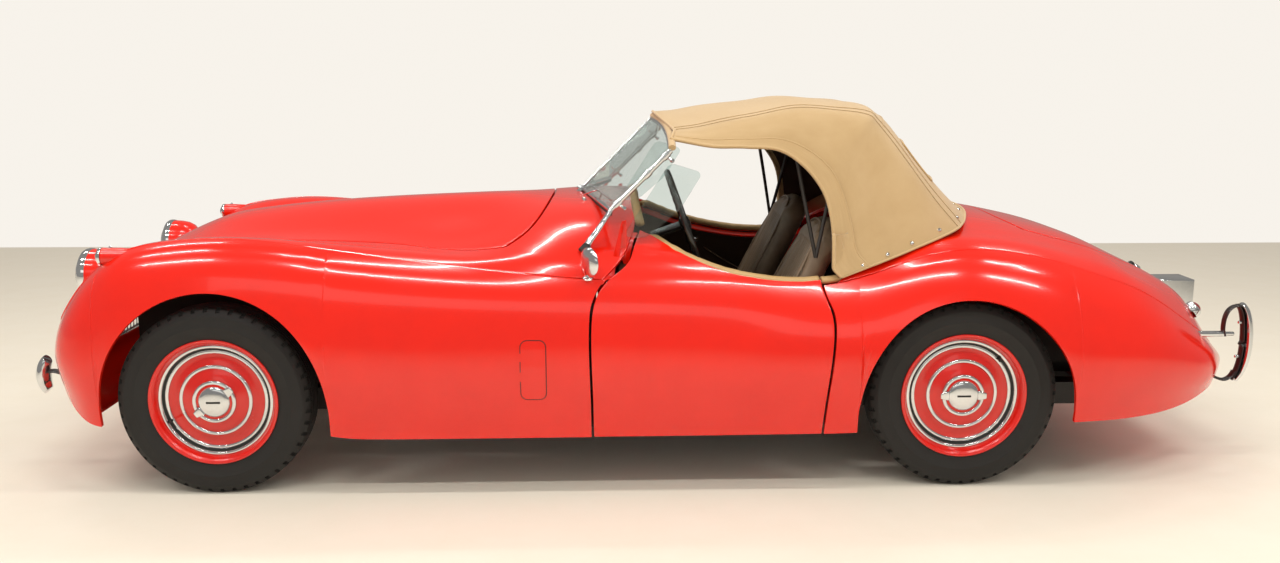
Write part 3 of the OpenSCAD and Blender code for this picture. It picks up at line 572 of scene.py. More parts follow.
@dataclass
class Coachwork:
    """The painted panels, the beads between them and the vent doors."""

    panels: tuple[str, ...] = (
        "front_shroud", "bonnet", "front_wing_left", "front_wing_right", "door_left", "door_right",
        "rear_wing_left", "rear_wing_right", "rear_shroud", "boot_lid", "aprons",
    )
    edge_round: float = 0.0022
    bead_radius: float = 0.0032
    vent_box: tuple[float, float, float, float] = (1056, 1140, 348, 552)

    def build(self) -> None:
        """Builds every painted piece."""
        for name in self.panels:
            self.panel(name)
        for side in Side:
            self.bead(side, "front", -590, 1325)
            self.bead(side, "rear", 2150, 3650)
            self.vent(side)
            self.shut_pillar(side)
            self.quarter(side)

    def shut_pillar(self, side: Side) -> None:
        """Lays the painted lip that a door's front edge shuts against."""
        skin = Skin(("front_shroud", f"door_{side.label}", f"front_wing_{side.label}"))
        edge = ((1322, 704), (1345, 676), (1372, 640), (1400, 602), (1424, 560), (1440, 522), (1448, 498))
        seam = smooth_line([Vector((d, y, 0)) for d, y in edge], 4)

        def at(u: float, v: float) -> Vector:
            """Point of the lip, sunk below the panels on both sides of it."""
            spot = seam[round(u * (len(seam) - 1))]
            high = [skin.top(st(spot.x + k), side.value * spot.y * MM).z for k in (-26, 26)]
            z = high[0] + (high[1] - high[0]) * v
            return Vector((st(spot.x - 16 + 30 * v), side.value * spot.y * MM, z - 0.007))

        lip = patch(len(seam) - 1, 4, at)
        if side is Side.RIGHT:
            bmesh.ops.reverse_faces(lip, faces=lip.faces)
        piece(lip, f"shut_pillar_{side.label}", PAINT, wall=-0.002)

    def quarter(self, side: Side) -> None:
        """Closes the deck between a rear wing and the hood's foot."""
        skin = Skin((f"rear_wing_{side.label}",))

        def at(u: float, v: float) -> Vector:
            """Point of the deck, which dips towards the cockpit."""
            d = 2112 + 300 * u
            crown = between(CROWN, d)
            rim = skin.top(st(d), side.value * (crown[0] - 3) * MM).z
            return Vector((st(d), side.value * (crown[0] - 1 - 120 * v) * MM, rim - 0.004 - 0.016 * v * v))

        deck = patch(20, 8, at)
        if side is Side.LEFT:
            bmesh.ops.reverse_faces(deck, faces=deck.faces)
        piece(deck, f"quarter_deck_{side.label}", PAINT, wall=0.002)
        door = Skin((f"door_{side.label}",))
        level = door.top(st(2066), side.value * 0.656).z
        run = [
            Vector((st(d), side.value * y * MM, level + h * MM)) for d, y,
            h in ((2088, 645, 1), (2125, 641, 3), (2165, 634, 9), (2210, 622, 18))
        ]
        piece(
            tube(smooth_line(run, 5), 0.0175, 16, flat=0.75), f"quarter_roll_{side.label}", CAPPING, sharp=180
        )

    def panel(self, name: str) -> None:
        """Rounds the edges of a CAD panel's copy and smooths its faces through the same points."""
        node = frame["nodes"][name]
        bm = bmesh.new()
        bm.from_mesh(node.data)
        bmesh.ops.remove_doubles(bm, verts=bm.verts, dist=0.00005)
        bmesh.ops.dissolve_degenerate(bm, dist=0.00002, edges=bm.edges)
        bmesh.ops.join_triangles(
            bm, faces=bm.faces, angle_face_threshold=math.radians(30), angle_shape_threshold=math.radians(80)
        )
        rims = [
            e for e in bm.edges
            if len(e.link_faces) == 2 and e.calc_face_angle(0.0) > math.radians(50)
        ]
        bmesh.ops.bevel(
            bm, geom=rims, offset=self.edge_round, segments=2, profile=0.5, affect="EDGES",
            clamp_overlap=True, material=-1,
        )
        bends = {
            v for e in bm.edges if len(e.link_faces) == 2 and e.calc_face_angle(0.0) > 0.3 for v in e.verts
        }
        rim = {v for b in bends for e in b.link_edges for v in e.verts}
        true = [None if v in rim or v.is_boundary else v.co.copy() for v in bm.verts]
        obj = piece(bm, "panel_" + name, PAINT, node["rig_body"], [name], sharp=75, subdivide=2)
        for _ in range(2):
            soft = obj.evaluated_get(bpy.context.evaluated_depsgraph_get()).data
            moves = [(i, soft.vertices[i].co - point) for i, point in enumerate(true) if point]
            for i, away in moves:
                obj.data.vertices[i].co -= away * min(1.0, 0.002 / max(away.length, 1e-9))
            obj.data.update()

    def bead(self, side: Side, label: str, start: float, end: float) -> None:
        """Lays the painted bead that closes the joint between a wing and its shroud."""
        line = []
        for i in range(121):
            station = start + (end - start) * i / 120
            y, z = between(CROWN, station)
            line.append(mm(station, side.value * (y - 1.0), z - 2.6))
        piece(tube(line, self.bead_radius, 8), f"bead_{label}_{side.label}", PAINT)

    def vent(self, side: Side) -> None:
        """Builds the vent door in a front wing, on a dark plate a little wider than the door, which paints the shade
        of the recess round it.
        """
        skin = Skin((f"front_wing_{side.label}",))
        d0, d1, z0, z1 = self.vent_box
        # The first plate is dark, 3 mm wider than the door and just under it: painted shade in the gap round the vent
        # door.
        for name, finish, grow, lift in (
            ("vent_rebate", PAD_RUBBER, 3.0, 0.0003), ("vent_door", PAINT, 0.0, 0.0014)
        ):
            def at(u: float, v: float, grow: float = grow, lift: float = lift) -> Vector:
                """Point of the plate, with its corners drawn in to a round."""
                a, b = 2 * u - 1, 2 * v - 1
                half_d, half_z, turn = (d1 - d0) / 2 + grow, (z1 - z0) / 2 + grow, 22.0 + grow
                dx, dz = a * half_d, b * half_z
                over = Vector((max(0.0, abs(dx) - half_d + turn), max(0.0, abs(dz) - half_z + turn)))
                if over.length > turn:
                    over *= 1 - turn / over.length
                    dx -= math.copysign(over.x, dx)
                    dz -= math.copysign(over.y, dz)
                return skin.flank(st((d0 + d1) / 2 + dx), ((z0 + z1) / 2 + dz) * MM, side, lift)

            piece(patch(16, 30, at), f"{name}_{side.label}", finish)


# ---- wheels ----


@dataclass
class RoadWheel:
    """One pressed disc wheel with its chrome rings, knock-off cap and tyre."""

    end: str
    side: Side
    x: float
    half_track: float
    ear_turn: float
    valve_turn: float

    def place(self) -> Matrix:
        """Placement whose Z axis is the axle, pointing outwards, and whose X axis is the car's."""
        s = self.side.value
        turn = Matrix(((1, 0, 0, 0), (0, 0, s, 0), (0, -s, 0, 0), (0, 0, 0, 1)))
        return Matrix.Translation((self.x, s * self.half_track, AXLE_Z)) @ turn

    def build(self) -> None:
        """Builds the wheel's pieces."""
        label = f"{self.end}_{self.side.label}"
        body = f"{self.end}_wheel_{self.side.label}"
        piece(self.tyre(), f"tyre_cover_{label}", RUBBER, body, [f"tyre_{label}"], sharp=50)
        piece(self.disc(), f"wheel_disc_{label}", WHEEL_PAINT, body, [f"wheel_{label}"], sharp=60)
        badge = block((-0.024, -0.0035, 0.0695), (0.024, 0.0035, 0.0703), 0.0003, 1)
        bmesh.ops.transform(badge, matrix=self.place(), verts=badge.verts)
        # The dark ring is painted shade in the slot between rim and centre; the small dark bar joined to it is the
        # cap's blank name bar.
        piece(join([self.gap(), badge]), f"wheel_gap_{label}", PAD_RUBBER, body)
        piece(self.rings(), f"wheel_rings_{label}", CHROME, body, sharp=60)
        piece(self.cap(), f"knock_off_{label}", CHROME, body, sharp=45)
        piece(self.valve(), f"valve_{label}", PAD_RUBBER, body)

    def disc(self) -> bmesh.types.BMesh:
        """The painted rim and dished centre, with the barrel behind."""
        return lathe(
            [
                (0, 58), (58, 58), (62, 56), (74, 50), (90, 45), (108, 40), (116, 36), (126, 33), (140, 27), (156, 24),
                (166, 26), (176, 26), (186, 30), (190, 36), (196, 41), (201, 47), (203, 55), (206, 62), (212, 67.5),
                (218, 69.5), (220.5, 68), (220.5, 64), (215, 61), (206, 58.4), (205, 58), (205, -58), (206, -58.4),
                (215, -61), (220.5, -64), (220.5, -68), (216, -69.5), (205, -66), (197, -60), (195, -50), (192, -20),
                (180, 4), (150, 10), (110, 14), (60, 12), (0, 12),
            ],
            self.place(), 128,
        )

    def gap(self) -> bmesh.types.BMesh:
        """The slot between the rim and the centre: a dark rubber-finished ring laid on the solid disc, painted shade
        in place of a real slot.
        """
        return lathe(
            [(174, 26.4), (178, 27.4), (182, 29.2), (188, 33.5), (187, 34.6), (174, 28.2), (174, 26.4)],
            self.place(), 128
        )

    def rings(self) -> bmesh.types.BMesh:
        """The chrome rings on the rim and the centre."""
        shapes = []
        for inner, outer, low, high in (
            (185, 199, 33, 43), (164, 178, 23.5, 32), (112, 126, 32, 41.5), (61, 75, 49, 60)
        ):
            middle = (inner + outer) / 2
            crown = max(low, high) + 1.5
            shapes.append(
                lathe(
                    [
                        (inner, low), (inner + 0.6, crown - 3.2), (inner + 2.4, crown - 0.8), (middle, crown),
                        (outer - 2.4, crown - 0.9), (outer - 0.5, crown - 3.6), (outer, low), (inner, low),
                    ],
                    self.place(), 128,
                )
            )
        return join(shapes)

    def cap(self) -> bmesh.types.BMesh:
        """The domed cap with its two ears."""
        dome = lathe(
            [
                (0, 70), (20, 69.4), (38, 67.6), (48, 64.8), (53, 61), (54, 56), (40, 55), (0, 55)
            ], self.place(), 96
        )
        shapes = [dome]
        for turn in (self.ear_turn, self.ear_turn + 180):
            ear = block((0.050, -0.015, 0.0555), (0.081, 0.015, 0.0655), 0.0045, 4)
            for vert in ear.verts:
                share = (vert.co.x - 0.050) / 0.031
                vert.co.y *= 1.15 - 0.5 * share * share
                vert.co.z += 0.003 * share * share
            bmesh.ops.transform(
                ear, matrix=self.place() @ Matrix.Rotation(math.radians(turn), 4, "Z"), verts=ear.verts
            )
            shapes.append(ear)
        return join(shapes)

    def valve(self) -> bmesh.types.BMesh:
        """The valve's rubber stem."""
        turn = math.radians(self.valve_turn)
        foot = self.place() @ Vector((0.181 * math.cos(turn), 0.181 * math.sin(turn), 0.028))
        tip = self.place() @ Vector((0.172 * math.cos(turn), 0.172 * math.sin(turn), 0.056))
        return tube([foot, foot.lerp(tip, 0.6), tip], [0.0055, 0.0045, 0.003], 10)

    def tyre(self) -> bmesh.types.BMesh:
        """The tyre, with a raised line on each wall, ribs and notched shoulders."""
        half = [
            (205.2, 57), (208, 60), (222, 64.2), (236, 68), (252, 72), (262, 74), (264, 75), (267, 75), (269, 74), (284, 73.6),
            (296, 71), (300, 71.6), (304, 70), (313, 64), (319, 60), (325, 55.5), (328, 50), (329.2, 42), (329.4, 38),
            (323.5, 37.2), (323.5, 33.4), (329.6, 32.6), (329.9, 18), (324, 17.2), (324, 13.4), (330, 12.6), (330, 4),
            (324, 3.2),
        ]
        back = [(r, -a) for r, a in reversed(half)]
        inside = [(206.5, -50), (206.5, 50), half[0]]
        bm = lathe(half + back + inside, self.place(), 144)
        axis = self.place().inverted()
        notches = []
        for face in bm.faces:
            centre = axis @ face.calc_center_median()
            reach = math.hypot(centre.x, centre.y) / MM
            turn = math.degrees(math.atan2(centre.y, centre.x)) % 360
            if 315 < reach < 329.2 and abs(centre.z) > 0.044 and int(turn / 2.5 + 0.01) % 3 == 0:
                notches.append(face)
        for face in bmesh.ops.inset_individual(bm, faces=notches, thickness=0.0008, depth=-0.0045)["faces"]:
            face.smooth = False
        return bm


# ---- lamps and brightwork ----


@dataclass
class Lamps:
    """The lamps at both ends."""

    head: tuple[float, float, float] = (-519, 385, 720)
    pod: tuple[float, float, float] = (-372, 617, 822)
    tail: tuple[float, float, float] = (3580, 315, 552)

    def build(self) -> None:
        """Builds the lamps of both sides."""
        for side in Side:
            self.headlamp(side)
            self.sidelamp(side)
            self.taillamp(side)

    def headlamp(self, side: Side) -> None:
        """Builds a headlamp: bowl, reflector, lens and rim."""
        place = aim(mm(self.head[0], side.value * self.head[1], self.head[2]), (-1, 0, 0))
        stands = ["front_lamps"] if side is Side.LEFT else []
        bowl = lathe(
            [(0, -108), (30, -106), (55, -98), (74, -82), (84, -62), (89, -36), (91, -6), (86, -4), (0, -20)],
            place
        )
        piece(bowl, f"headlamp_bowl_{side.label}", PAINT, stands_for=stands)
        rim = lathe(
            [
                (84, -6), (91.5, -8), (93.6, -2), (93.8, 6), (92.5, 13), (89, 19), (84, 22), (79, 22.5), (77.5, 20),
                (80, 17), (84, 12), (84, -6),
            ],
            place, 128,
        )
        piece(rim, f"headlamp_rim_{side.label}", LAMP_CHROME)
        dish = lathe(
            [
                (0, -14), (20, -12), (45, -4), (66, 8), (81, 17), (82, 14), (66, 4), (45, -8), (20, -16),
                (0, -18)
            ],
            place
        )
        bulb = lathe([(0, 16), (6, 14), (9, 8), (8, 0), (6, -12), (0, -12)], place, 24)
        piece(join([dish, bulb]), f"headlamp_dish_{side.label}", LAMP_CHROME)
        lens = lathe(
            [
                (0, 50), (20, 48.6), (40, 44.2), (58, 36.6), (72, 26.5), (80, 18), (78, 16), (56, 33),
                (38, 40.4), (0, 46)
            ],
            place
        )
        piece(lens, f"headlamp_lens_{side.label}", LAMP_GLASS)

    def sidelamp(self, side: Side) -> None:
        """Builds a sidelamp in the nose of its painted pod."""
        centre = mm(self.pod[0], side.value * self.pod[1], self.pod[2])
        place = aim(centre, (-1, 0, 0))
        pod = lathe(
            [
                (0, -188), (10, -182), (18, -165), (24.5, -130), (28.4, -85), (30.4, -40), (30, -2), (26, 0),
                (0, 0)
            ], place, 64
        )
        piece(pod, f"sidelamp_pod_{side.label}", PAINT)
        rim = lathe(
            [(23, 1), (30.6, 0), (31, 5), (29, 11), (25, 13.6), (22.5, 12), (24, 9), (23, 1)], place, 64
        )
        tell = lathe(
            [(0, 37), (3, 36.4), (4.6, 33.5), (4.6, 30), (7, 28), (0, 27)],
            aim(centre + Vector((0.028, 0, 0)), (0, 0, 1)), 24
        )
        piece(join([rim, tell]), f"sidelamp_rim_{side.label}", LAMP_CHROME)
        lens = lathe([(0, 24), (10, 22.6), (18, 18), (23, 11.5), (22, 6), (0, 6)], place, 48)
        piece(lens, f"sidelamp_lens_{side.label}", LAMP_GLASS)

    def taillamp(self, side: Side) -> None:
        """Builds a tail lamp on its chrome base."""
        lean = math.radians(50)
        place = aim(
            mm(self.tail[0], side.value * self.tail[1], self.tail[2]), (math.sin(lean), 0, math.cos(lean))
        )
        stands = ["tail_lamps"] if side is Side.LEFT else []
        ring = lathe(
            [(24, 10), (25, 4), (31, -14), (32, -10), (31.6, 4), (29, 10), (26.5, 12), (24, 10)], place, 64
        )
        piece(ring, f"tail_lamp_ring_{side.label}", LAMP_CHROME)
        lens = lathe([(0, 24.6), (8, 23.6), (16, 20.2), (22, 15), (26, 9), (24, 2), (0, 2)], place, 64)
        piece(lens, f"tail_lamp_lens_{side.label}", TAIL_LENS, stands_for=stands)


@dataclass
class Brightwork:
    """The grille, overriders, mirror, plate lamp and boot handle."""

    grille_centre: tuple[float, float] = (-587, 490)
    grille_half: tuple[float, float] = (462, 75)
    bars: int = 31

    def build(self) -> None:
        """Builds all the bright trim."""
        self.grille()
        for side in Side:
            self.front_overrider(side)
            self.rear_overrider(side)
        self.mirror()
        self.plate_lamp()
        self.boot_handle()

    def grille(self) -> None:
        """Builds the grille: an oval rim round upright bars."""
        d, z = self.grille_centre
        half_y, half_z = self.grille_half
        rim = [
            mm(d, half_y * math.copysign(abs(math.cos(a)) ** 0.8, math.cos(a)), z + half_z * math.sin(a))
            for a in (math.tau * i / 96 for i in range(96))
        ]
        shapes = [tube(rim, 0.0065, 10, closed=True)]
        for i in range(self.bars):
            y = (2 * (i + 0.5) / self.bars - 1) * (half_y - 8)
            tall = half_z * math.sqrt(max(0.02, 1 - abs(y / half_y) ** 2.4))
            shapes.append(block(mm(d - 3, y - 2.2, z - tall), mm(d + 7, y + 2.2, z + tall), 0.0015, 2))
        piece(join(shapes), "grille_bars", CHROME, stands_for=["grille"])

    def front_overrider(self, side: Side) -> None:
        """Builds a front overrider horn and its iron."""
        y = side.value * 450
        line = smooth_line(
            [mm(-683, y, 303), mm(-699, y, 330), mm(-704, y, 362), mm(-695, y, 392), mm(-673, y, 418)], 8
        )
        radii = [
            0.014 + 0.022 * math.sin(math.pi * (0.12 + 0.76 * i / (len(line) - 1))) for i in range(len(line))
        ]
        horn = tube(line, radii, 28)
        for vert in horn.verts:
            vert.co.x = st(-690) + (vert.co.x - st(-690)) * 0.62
        stands = ["overriders"] if side is Side.LEFT else []
        piece(horn, f"front_overrider_{side.label}", CHROME, stands_for=stands)
        iron = [mm(-684, y, 372), mm(-660, y, 374), mm(-630, y, 366), mm(-606, y, 352)]
        piece(tube(smooth_line(iron, 4), 0.017, 12, flat=0.4), f"front_iron_{side.label}", IRON)

    def rear_overrider(self, side: Side) -> None:
        """Builds a rear overrider blade, its backing strap and the curved irons behind."""
        y = side.value * 450
        face = [
            mm(3682, y, 596), mm(3697, y, 570), mm(3708, y, 520), mm(3712, y, 460), mm(3710, y, 400),
            mm(3700, y, 350), mm(3682, y, 312)
        ]
        line = smooth_line(face, 6)
        radii = [
            0.008 + 0.024 * math.sin(math.pi * (0.06 + 0.88 * i / (len(line) - 1))) ** 0.6
            for i in range(len(line))
        ]
        blade = tube(line, radii, 28)
        for vert in blade.verts:
            middle = min(line, key=lambda p: abs(p.z - vert.co.z))
            reach = vert.co.x - middle.x
            vert.co.x = middle.x + reach * (0.8 if reach > 0 else 0.15)
        piece(blade, f"rear_overrider_{side.label}", CHROME)
        strap = [p - Vector((0.010, 0, 0)) for p in line]
        shapes = [tube(strap, 0.016, 12, flat=0.35)]
        hook = [
            mm(3686, y, 592), mm(3662, y, 592), mm(3640, y, 576), mm(3628, y, 545), mm(3626, y, 505),
            mm(3632, y, 480)
        ]
        shapes.append(tube(smooth_line(hook, 6), 0.015, 12, flat=0.3))
        tail = Skin(("rear_shroud", f"rear_wing_{side.label}"))
        foot, _ = tail.cast((2.3, y * MM, 0.33), (-1, 0, 0))
        root, _ = tail.cast((2.3, y * MM, 0.487), (-1, 0, 0))
        low = [mm(3682, y, 345), mm(3668, y, 322), mm(3640, y, 312), foot - Vector((0.02, 0, 0))]
        shapes.append(tube(smooth_line(low, 6), 0.015, 12, flat=0.35))
        piece(join(shapes), f"rear_irons_{side.label}", IRON)
        bolts = [
            lathe(
                [
                    (0, 40), (7, 39), (8, 36), (8, 8), (11, 7), (11, (root.x - st(3628)) / MM - 20),
                    (0, (root.x - st(3628)) / MM - 20)
                ],
                aim(mm(3628, y, 487), (1, 0, 0)), 24
            ),
            lathe([(0, 14), (5, 13), (6, 10), (6, 0), (0, 0)], aim(mm(3694, y, 530), (-1, 0, 0)), 16),
            lathe([(0, 14), (5, 13), (6, 10), (6, 0), (0, 0)], aim(mm(3694, y, 400), (-1, 0, 0)), 16),
        ]
        piece(join(bolts), f"rear_bolts_{side.label}", CHROME)

    def mirror(self) -> None:
        """Builds the round mirror and its stem on the left wing."""
        low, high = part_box("door_mirror")
        centre = Vector(((low.x + high.x) / 2, (low.y + high.y) / 2, high.z - 0.052))
        turn = math.radians(35)
        back = (-math.cos(turn), -math.sin(turn), 0)
        shell = lathe(
            [
                (0, 10.5), (18, 9.6), (34, 6.8), (46, 1.5), (51, -4), (51.4, -8), (50, -10), (47, -10),
                (46.4, -7.5), (0, -7.5)
            ],
            aim(centre, back), 96,
        )
        foot = Vector((centre.x, centre.y, low.z))
        skin = Skin(("front_shroud", "front_wing_left"))
        base = skin.top(centre.x, centre.y + 0.03)
        stem = [
            base - Vector((0, 0, 0.004)), base + Vector((0, 0, 0.006)), foot + Vector((0, 0, 0.02)),
            centre - Vector((0, 0, 0.046))
        ]
        shapes = [shell, tube(smooth_line(stem, 4), 0.0052, 12)]
        shapes.append(
            lathe(
                [(0, 7), (7, 6.4), (9, 4), (16, 2.5), (19, 0.5), (19, -5), (0, -5)], aim(base, (0, -0.25, 1)),
                48
            )
        )
        piece(join(shapes), "wing_mirror", CHROME, stands_for=["door_mirror"])

    def plate_lamp(self) -> None:
        """Builds the plate lamp housing on the tail, with its lens and two screw holes."""
        node = frame["nodes"]["plate_plinth"]
        bm = bmesh.new()
        bm.from_mesh(node.data)
        bmesh.ops.remove_doubles(bm, verts=bm.verts, dist=0.00005)
        bmesh.ops.dissolve_limit(bm, angle_limit=math.radians(1), verts=bm.verts, edges=bm.edges)
        rims = [
            e for e in bm.edges
            if len(e.link_faces) == 2 and e.calc_face_angle(0.0) > math.radians(40) and e.calc_length() > 0.05
        ]
        bmesh.ops.bevel(
            bm, geom=rims, offset=0.006, segments=5, profile=0.5, affect="EDGES", clamp_overlap=True,
            material=-1
        )
        piece(bm, "plate_lamp_housing", CHROME, stands_for=["plate_plinth"], sharp=30)
        place = aim(mm(3712.5, 0, 578), (1, 0, 0))
        ring = lathe([(26, 0), (33, 0), (33.2, 5), (31, 9), (27, 10), (26, 8), (26, 0)], place, 64)
        piece(ring, "plate_lamp_rim", CHROME)
        lens = lathe([(0, 15.5), (12, 14.4), (22, 11), (26, 7), (26, 2), (0, 2)], place, 64)
        piece(lens, "plate_lamp_lens", LAMP_GLASS)

    def boot_handle(self) -> None:
        """Builds the boot handle with its black lock cover."""
        skin = Skin(("boot_lid",))
        base = skin.top(st(3488), 0.0)
        up = Vector((0.55, 0, 0.83)).normalized()
        grip = lathe([(0, 30), (12, 28), (20, 22), (23, 13), (20, 4), (15, -1), (0, -2)], aim(base, up), 48)
        piece(grip, "boot_handle", CHROME, "boot_lid")
        top = skin.top(st(3466), 0.0)
        cover = lathe([(0, 30), (7, 29), (10, 25), (10, 4), (13, 0), (0, -1)], aim(top, up), 32)
        piece(cover, "boot_lock_cover", PAD_RUBBER, "boot_lid")


# ---- windscreen ----


@dataclass
class Windscreen:
    """The framed two-pane screen, its pillars, wind wings and wipers."""

    foot: tuple[float, float, float] = (1250, 0, 988)
    across: tuple[float, float, float] = (112, 580, -18)
    up: tuple[float, float, float] = (272, 0, 270)
    wing: tuple = ((1404, 580, 880), (1484, 580, 874), (1604, 580, 976), (1680, 580, 1100), (1566, 580, 1135))

    def at(self, u: float, v: float) -> Vector:
        """Point of the right half, u across from the post and v up."""
        rise = v * (1 - 0.25 * u * u)
        return mm(*(self.foot[k] + u * self.across[k] + rise * self.up[k] for k in range(3)))

    def build(self) -> None:
        """Builds the screen's pieces."""
        bars = []
        panes = []
        for side in Side:
            flip = Matrix.Diagonal((1, side.value, 1, 1))
            edge = lambda a, b, n=12: [
                flip @ self.at(a[0] + (b[0] - a[0]) * i / n, a[1] + (b[1] - a[1]) * i / n)
                for i in range(n + 1)
            ]
            bars.append(tube(edge((0, 0), (1, 0)), 0.0075, 12))
            bars.append(tube(edge((0, 1), (1, 1)), 0.0075, 12))
            bars.append(tube(edge((1, -0.02), (1, 1.02)), 0.0095, 14))
            pane = patch(10, 10, lambda u, v: flip @ self.at(0.01 + 0.98 * u, 0.02 + 0.96 * v))
            panes.append(pane)
            self.pillar(side)
            self.wind_wing(side)
            self.wiper(side)
        bars.append(tube([self.at(0, v / 8) + Vector((-0.002, 0, 0)) for v in range(9)], 0.006, 12))
        piece(join(bars), "screen_frame", CHROME, stands_for=["windscreen_frame"])
        piece(join(panes), "screen_panes", GLASS, stands_for=["screen_glass"], wall=0.004)
        seal = [self.at(abs(i) / 12, 0) for i in range(-12, 13)]
        for i, point in enumerate(seal):
            point.y = math.copysign(point.y, i - 12)
            point.z -= 0.010
        piece(tube(seal, 0.006, 8, flat=1.6), "screen_seal", PAD_RUBBER)
        header = []
        for i in range(-12, 13):
            point = self.at(abs(i) / 12, 1) + Vector((0.008, 0, 0.013))
            header.append(Vector((point.x, math.copysign(point.y, i), point.z)))
        piece(tube(header, 0.013, 14, flat=0.8), "hood_header", HOOD_CLOTH, sharp=80)
        boss = lathe(
            [(0, 8), (8, 7), (11, 3), (12, -2), (22, -8), (24, -14), (0, -14)],
            aim(self.at(0, 0) + Vector((-0.012, 0, 0.002)), (-0.5, 0, 0.8)), 32
        )
        piece(boss, "screen_post_boss", CHROME)

    def pillar(self, side: Side) -> None:
        """Builds a pillar's stanchion, pad and clamps."""
        s = side.value
        foot = self.at(1, 0)
        foot.y *= s
        shoe = mm(1272, s * 622, 842)
        line = smooth_line([shoe, mm(1292, s * 612, 872), mm(1325, s * 596, 915), foot], 5)
        cast = tube(line, [0.021 - 0.009 * i / (len(line) - 1) for i in range(len(line))], 16, flat=0.6)
        clamps = [cast]
        for share in (0.12, 0.62, 0.93):
            centre = self.at(1, share)
            centre.y *= s
            way = (self.at(1, share + 0.05) - self.at(1, share)).normalized()
            clamps.append(
                lathe([(9, -14), (13, -13), (13.5, 0), (13, 13), (9, 14), (9, -14)], aim(centre, way), 32)
            )
            if share != 0.62:
                arm = centre + Vector((0.022, s * 0.012, -0.016))
                clamps.append(tube([centre, centre.lerp(arm, 0.5), arm], [0.006, 0.005, 0.005], 10))
                clamps.append(
                    lathe([(0, 9), (5, 8), (7, 4), (7, -4), (5, -8), (0, -9)], aim(arm, (0.3, s, 0.1)), 20)
                )
        piece(join(clamps), f"screen_pillar_{side.label}", CHROME)
        pad = [mm(1262, s * 628, 836), mm(1272, s * 622, 846), mm(1283, s * 617, 858)]
        piece(tube(pad, 0.021, 16, flat=0.55), f"screen_pad_{side.label}", PAD_RUBBER)

    def wind_wing(self, side: Side) -> None:
        """Builds a clear wind wing with rounded corners."""
        bm = bmesh.new()
        flat = sum(y for _, y, _ in self.wing) / len(self.wing)
        corners = [bm.verts.new(mm(d, side.value * flat, z)) for d, _, z in self.wing]
        bm.faces.new(corners)
        bmesh.ops.bevel(
            bm, geom=bm.verts[:], offset=0.022, segments=5, profile=0.5, affect="VERTICES", material=-1
        )
        bmesh.ops.recalc_face_normals(bm, faces=bm.faces)
        piece(bm, f"wind_wing_{side.label}", GLASS, wall=0.0045)

    def wiper(self, side: Side) -> None:
        """Builds a wiper lying along the foot of the glass."""
        s = side.value
        root = self.at(0.42, 0)
        root = Vector((root.x - 0.035, s * root.y, root.z - 0.012))
        ends = [self.at(0.12, 0.10), self.at(0.78, 0.12)]
        ends = [Vector((p.x - 0.012, s * p.y, p.z)) for p in ends]
        middle = ends[0].lerp(ends[1], 0.5)
        arm = [root, root + Vector((0, 0, 0.02)), middle + Vector((-0.004, 0, 0))]
        shapes = [tube(smooth_line(arm, 4), 0.003, 8), tube([ends[0], middle, ends[1]], 0.0032, 8, flat=0.7)]
        shapes.append(
            lathe(
                [(0, 10), (6, 9), (8, 5), (8, -2), (12, -6), (12, -12), (0, -12)], aim(root, (-0.3, 0, 1)), 24
            )
        )
        piece(join(shapes), f"wiper_{side.label}", CHROME)


# ---- soft top ----

# Lines that run back along the cloth, as share of the way, station, y, z
HOOD_CENTRE = (
    (0, 1528, 0, 1287), (1, 1655, 0, 1305), (2, 1840, 0, 1328), (3, 2005, 0, 1345), (4, 2165, 0, 1340),
    (5, 2300, 0, 1322), (6, 2392, 0, 1270), (7, 2494, 0, 1150), (8, 2600, 0, 1030), (9, 2735, 0, 902),
)
HOOD_SEAM = (
    (
        0, 1588, 430, 1240
    ), (1, 1700, 440, 1259), (2, 1850, 448, 1290), (3, 2010, 450, 1319), (4, 2160, 450, 1314),
    (
        5, 2280, 447, 1294
    ), (6, 2335, 450, 1240), (7, 2425, 470, 1128), (8, 2515, 490, 1010), (9, 2608, 494, 896),
)
HOOD_SIDE = (
    (
        0, 1582, 482, 1227
    ), (1, 1706, 505, 1232), (2, 1840, 515, 1244), (3, 1975, 526, 1255), (4, 2090, 540, 1230),
    (
        5, 2175, 555, 1180
    ), (6, 2222, 568, 1105), (7, 2272, 590, 1005), (8, 2320, 612, 905), (9, 2385, 630, 829),
)
HOOD_EDGE = (
    (
        0, 1574, 515, 1212
    ), (1, 1715, 552, 1190), (2, 1835, 560, 1187), (3, 1947, 565, 1177), (4, 2030, 577, 1124),
    (5, 2090, 597, 1050), (6, 2119, 615, 972), (7, 2130, 637, 872), (8, 2126, 659, 786), (9, 2154, 672, 748),
)


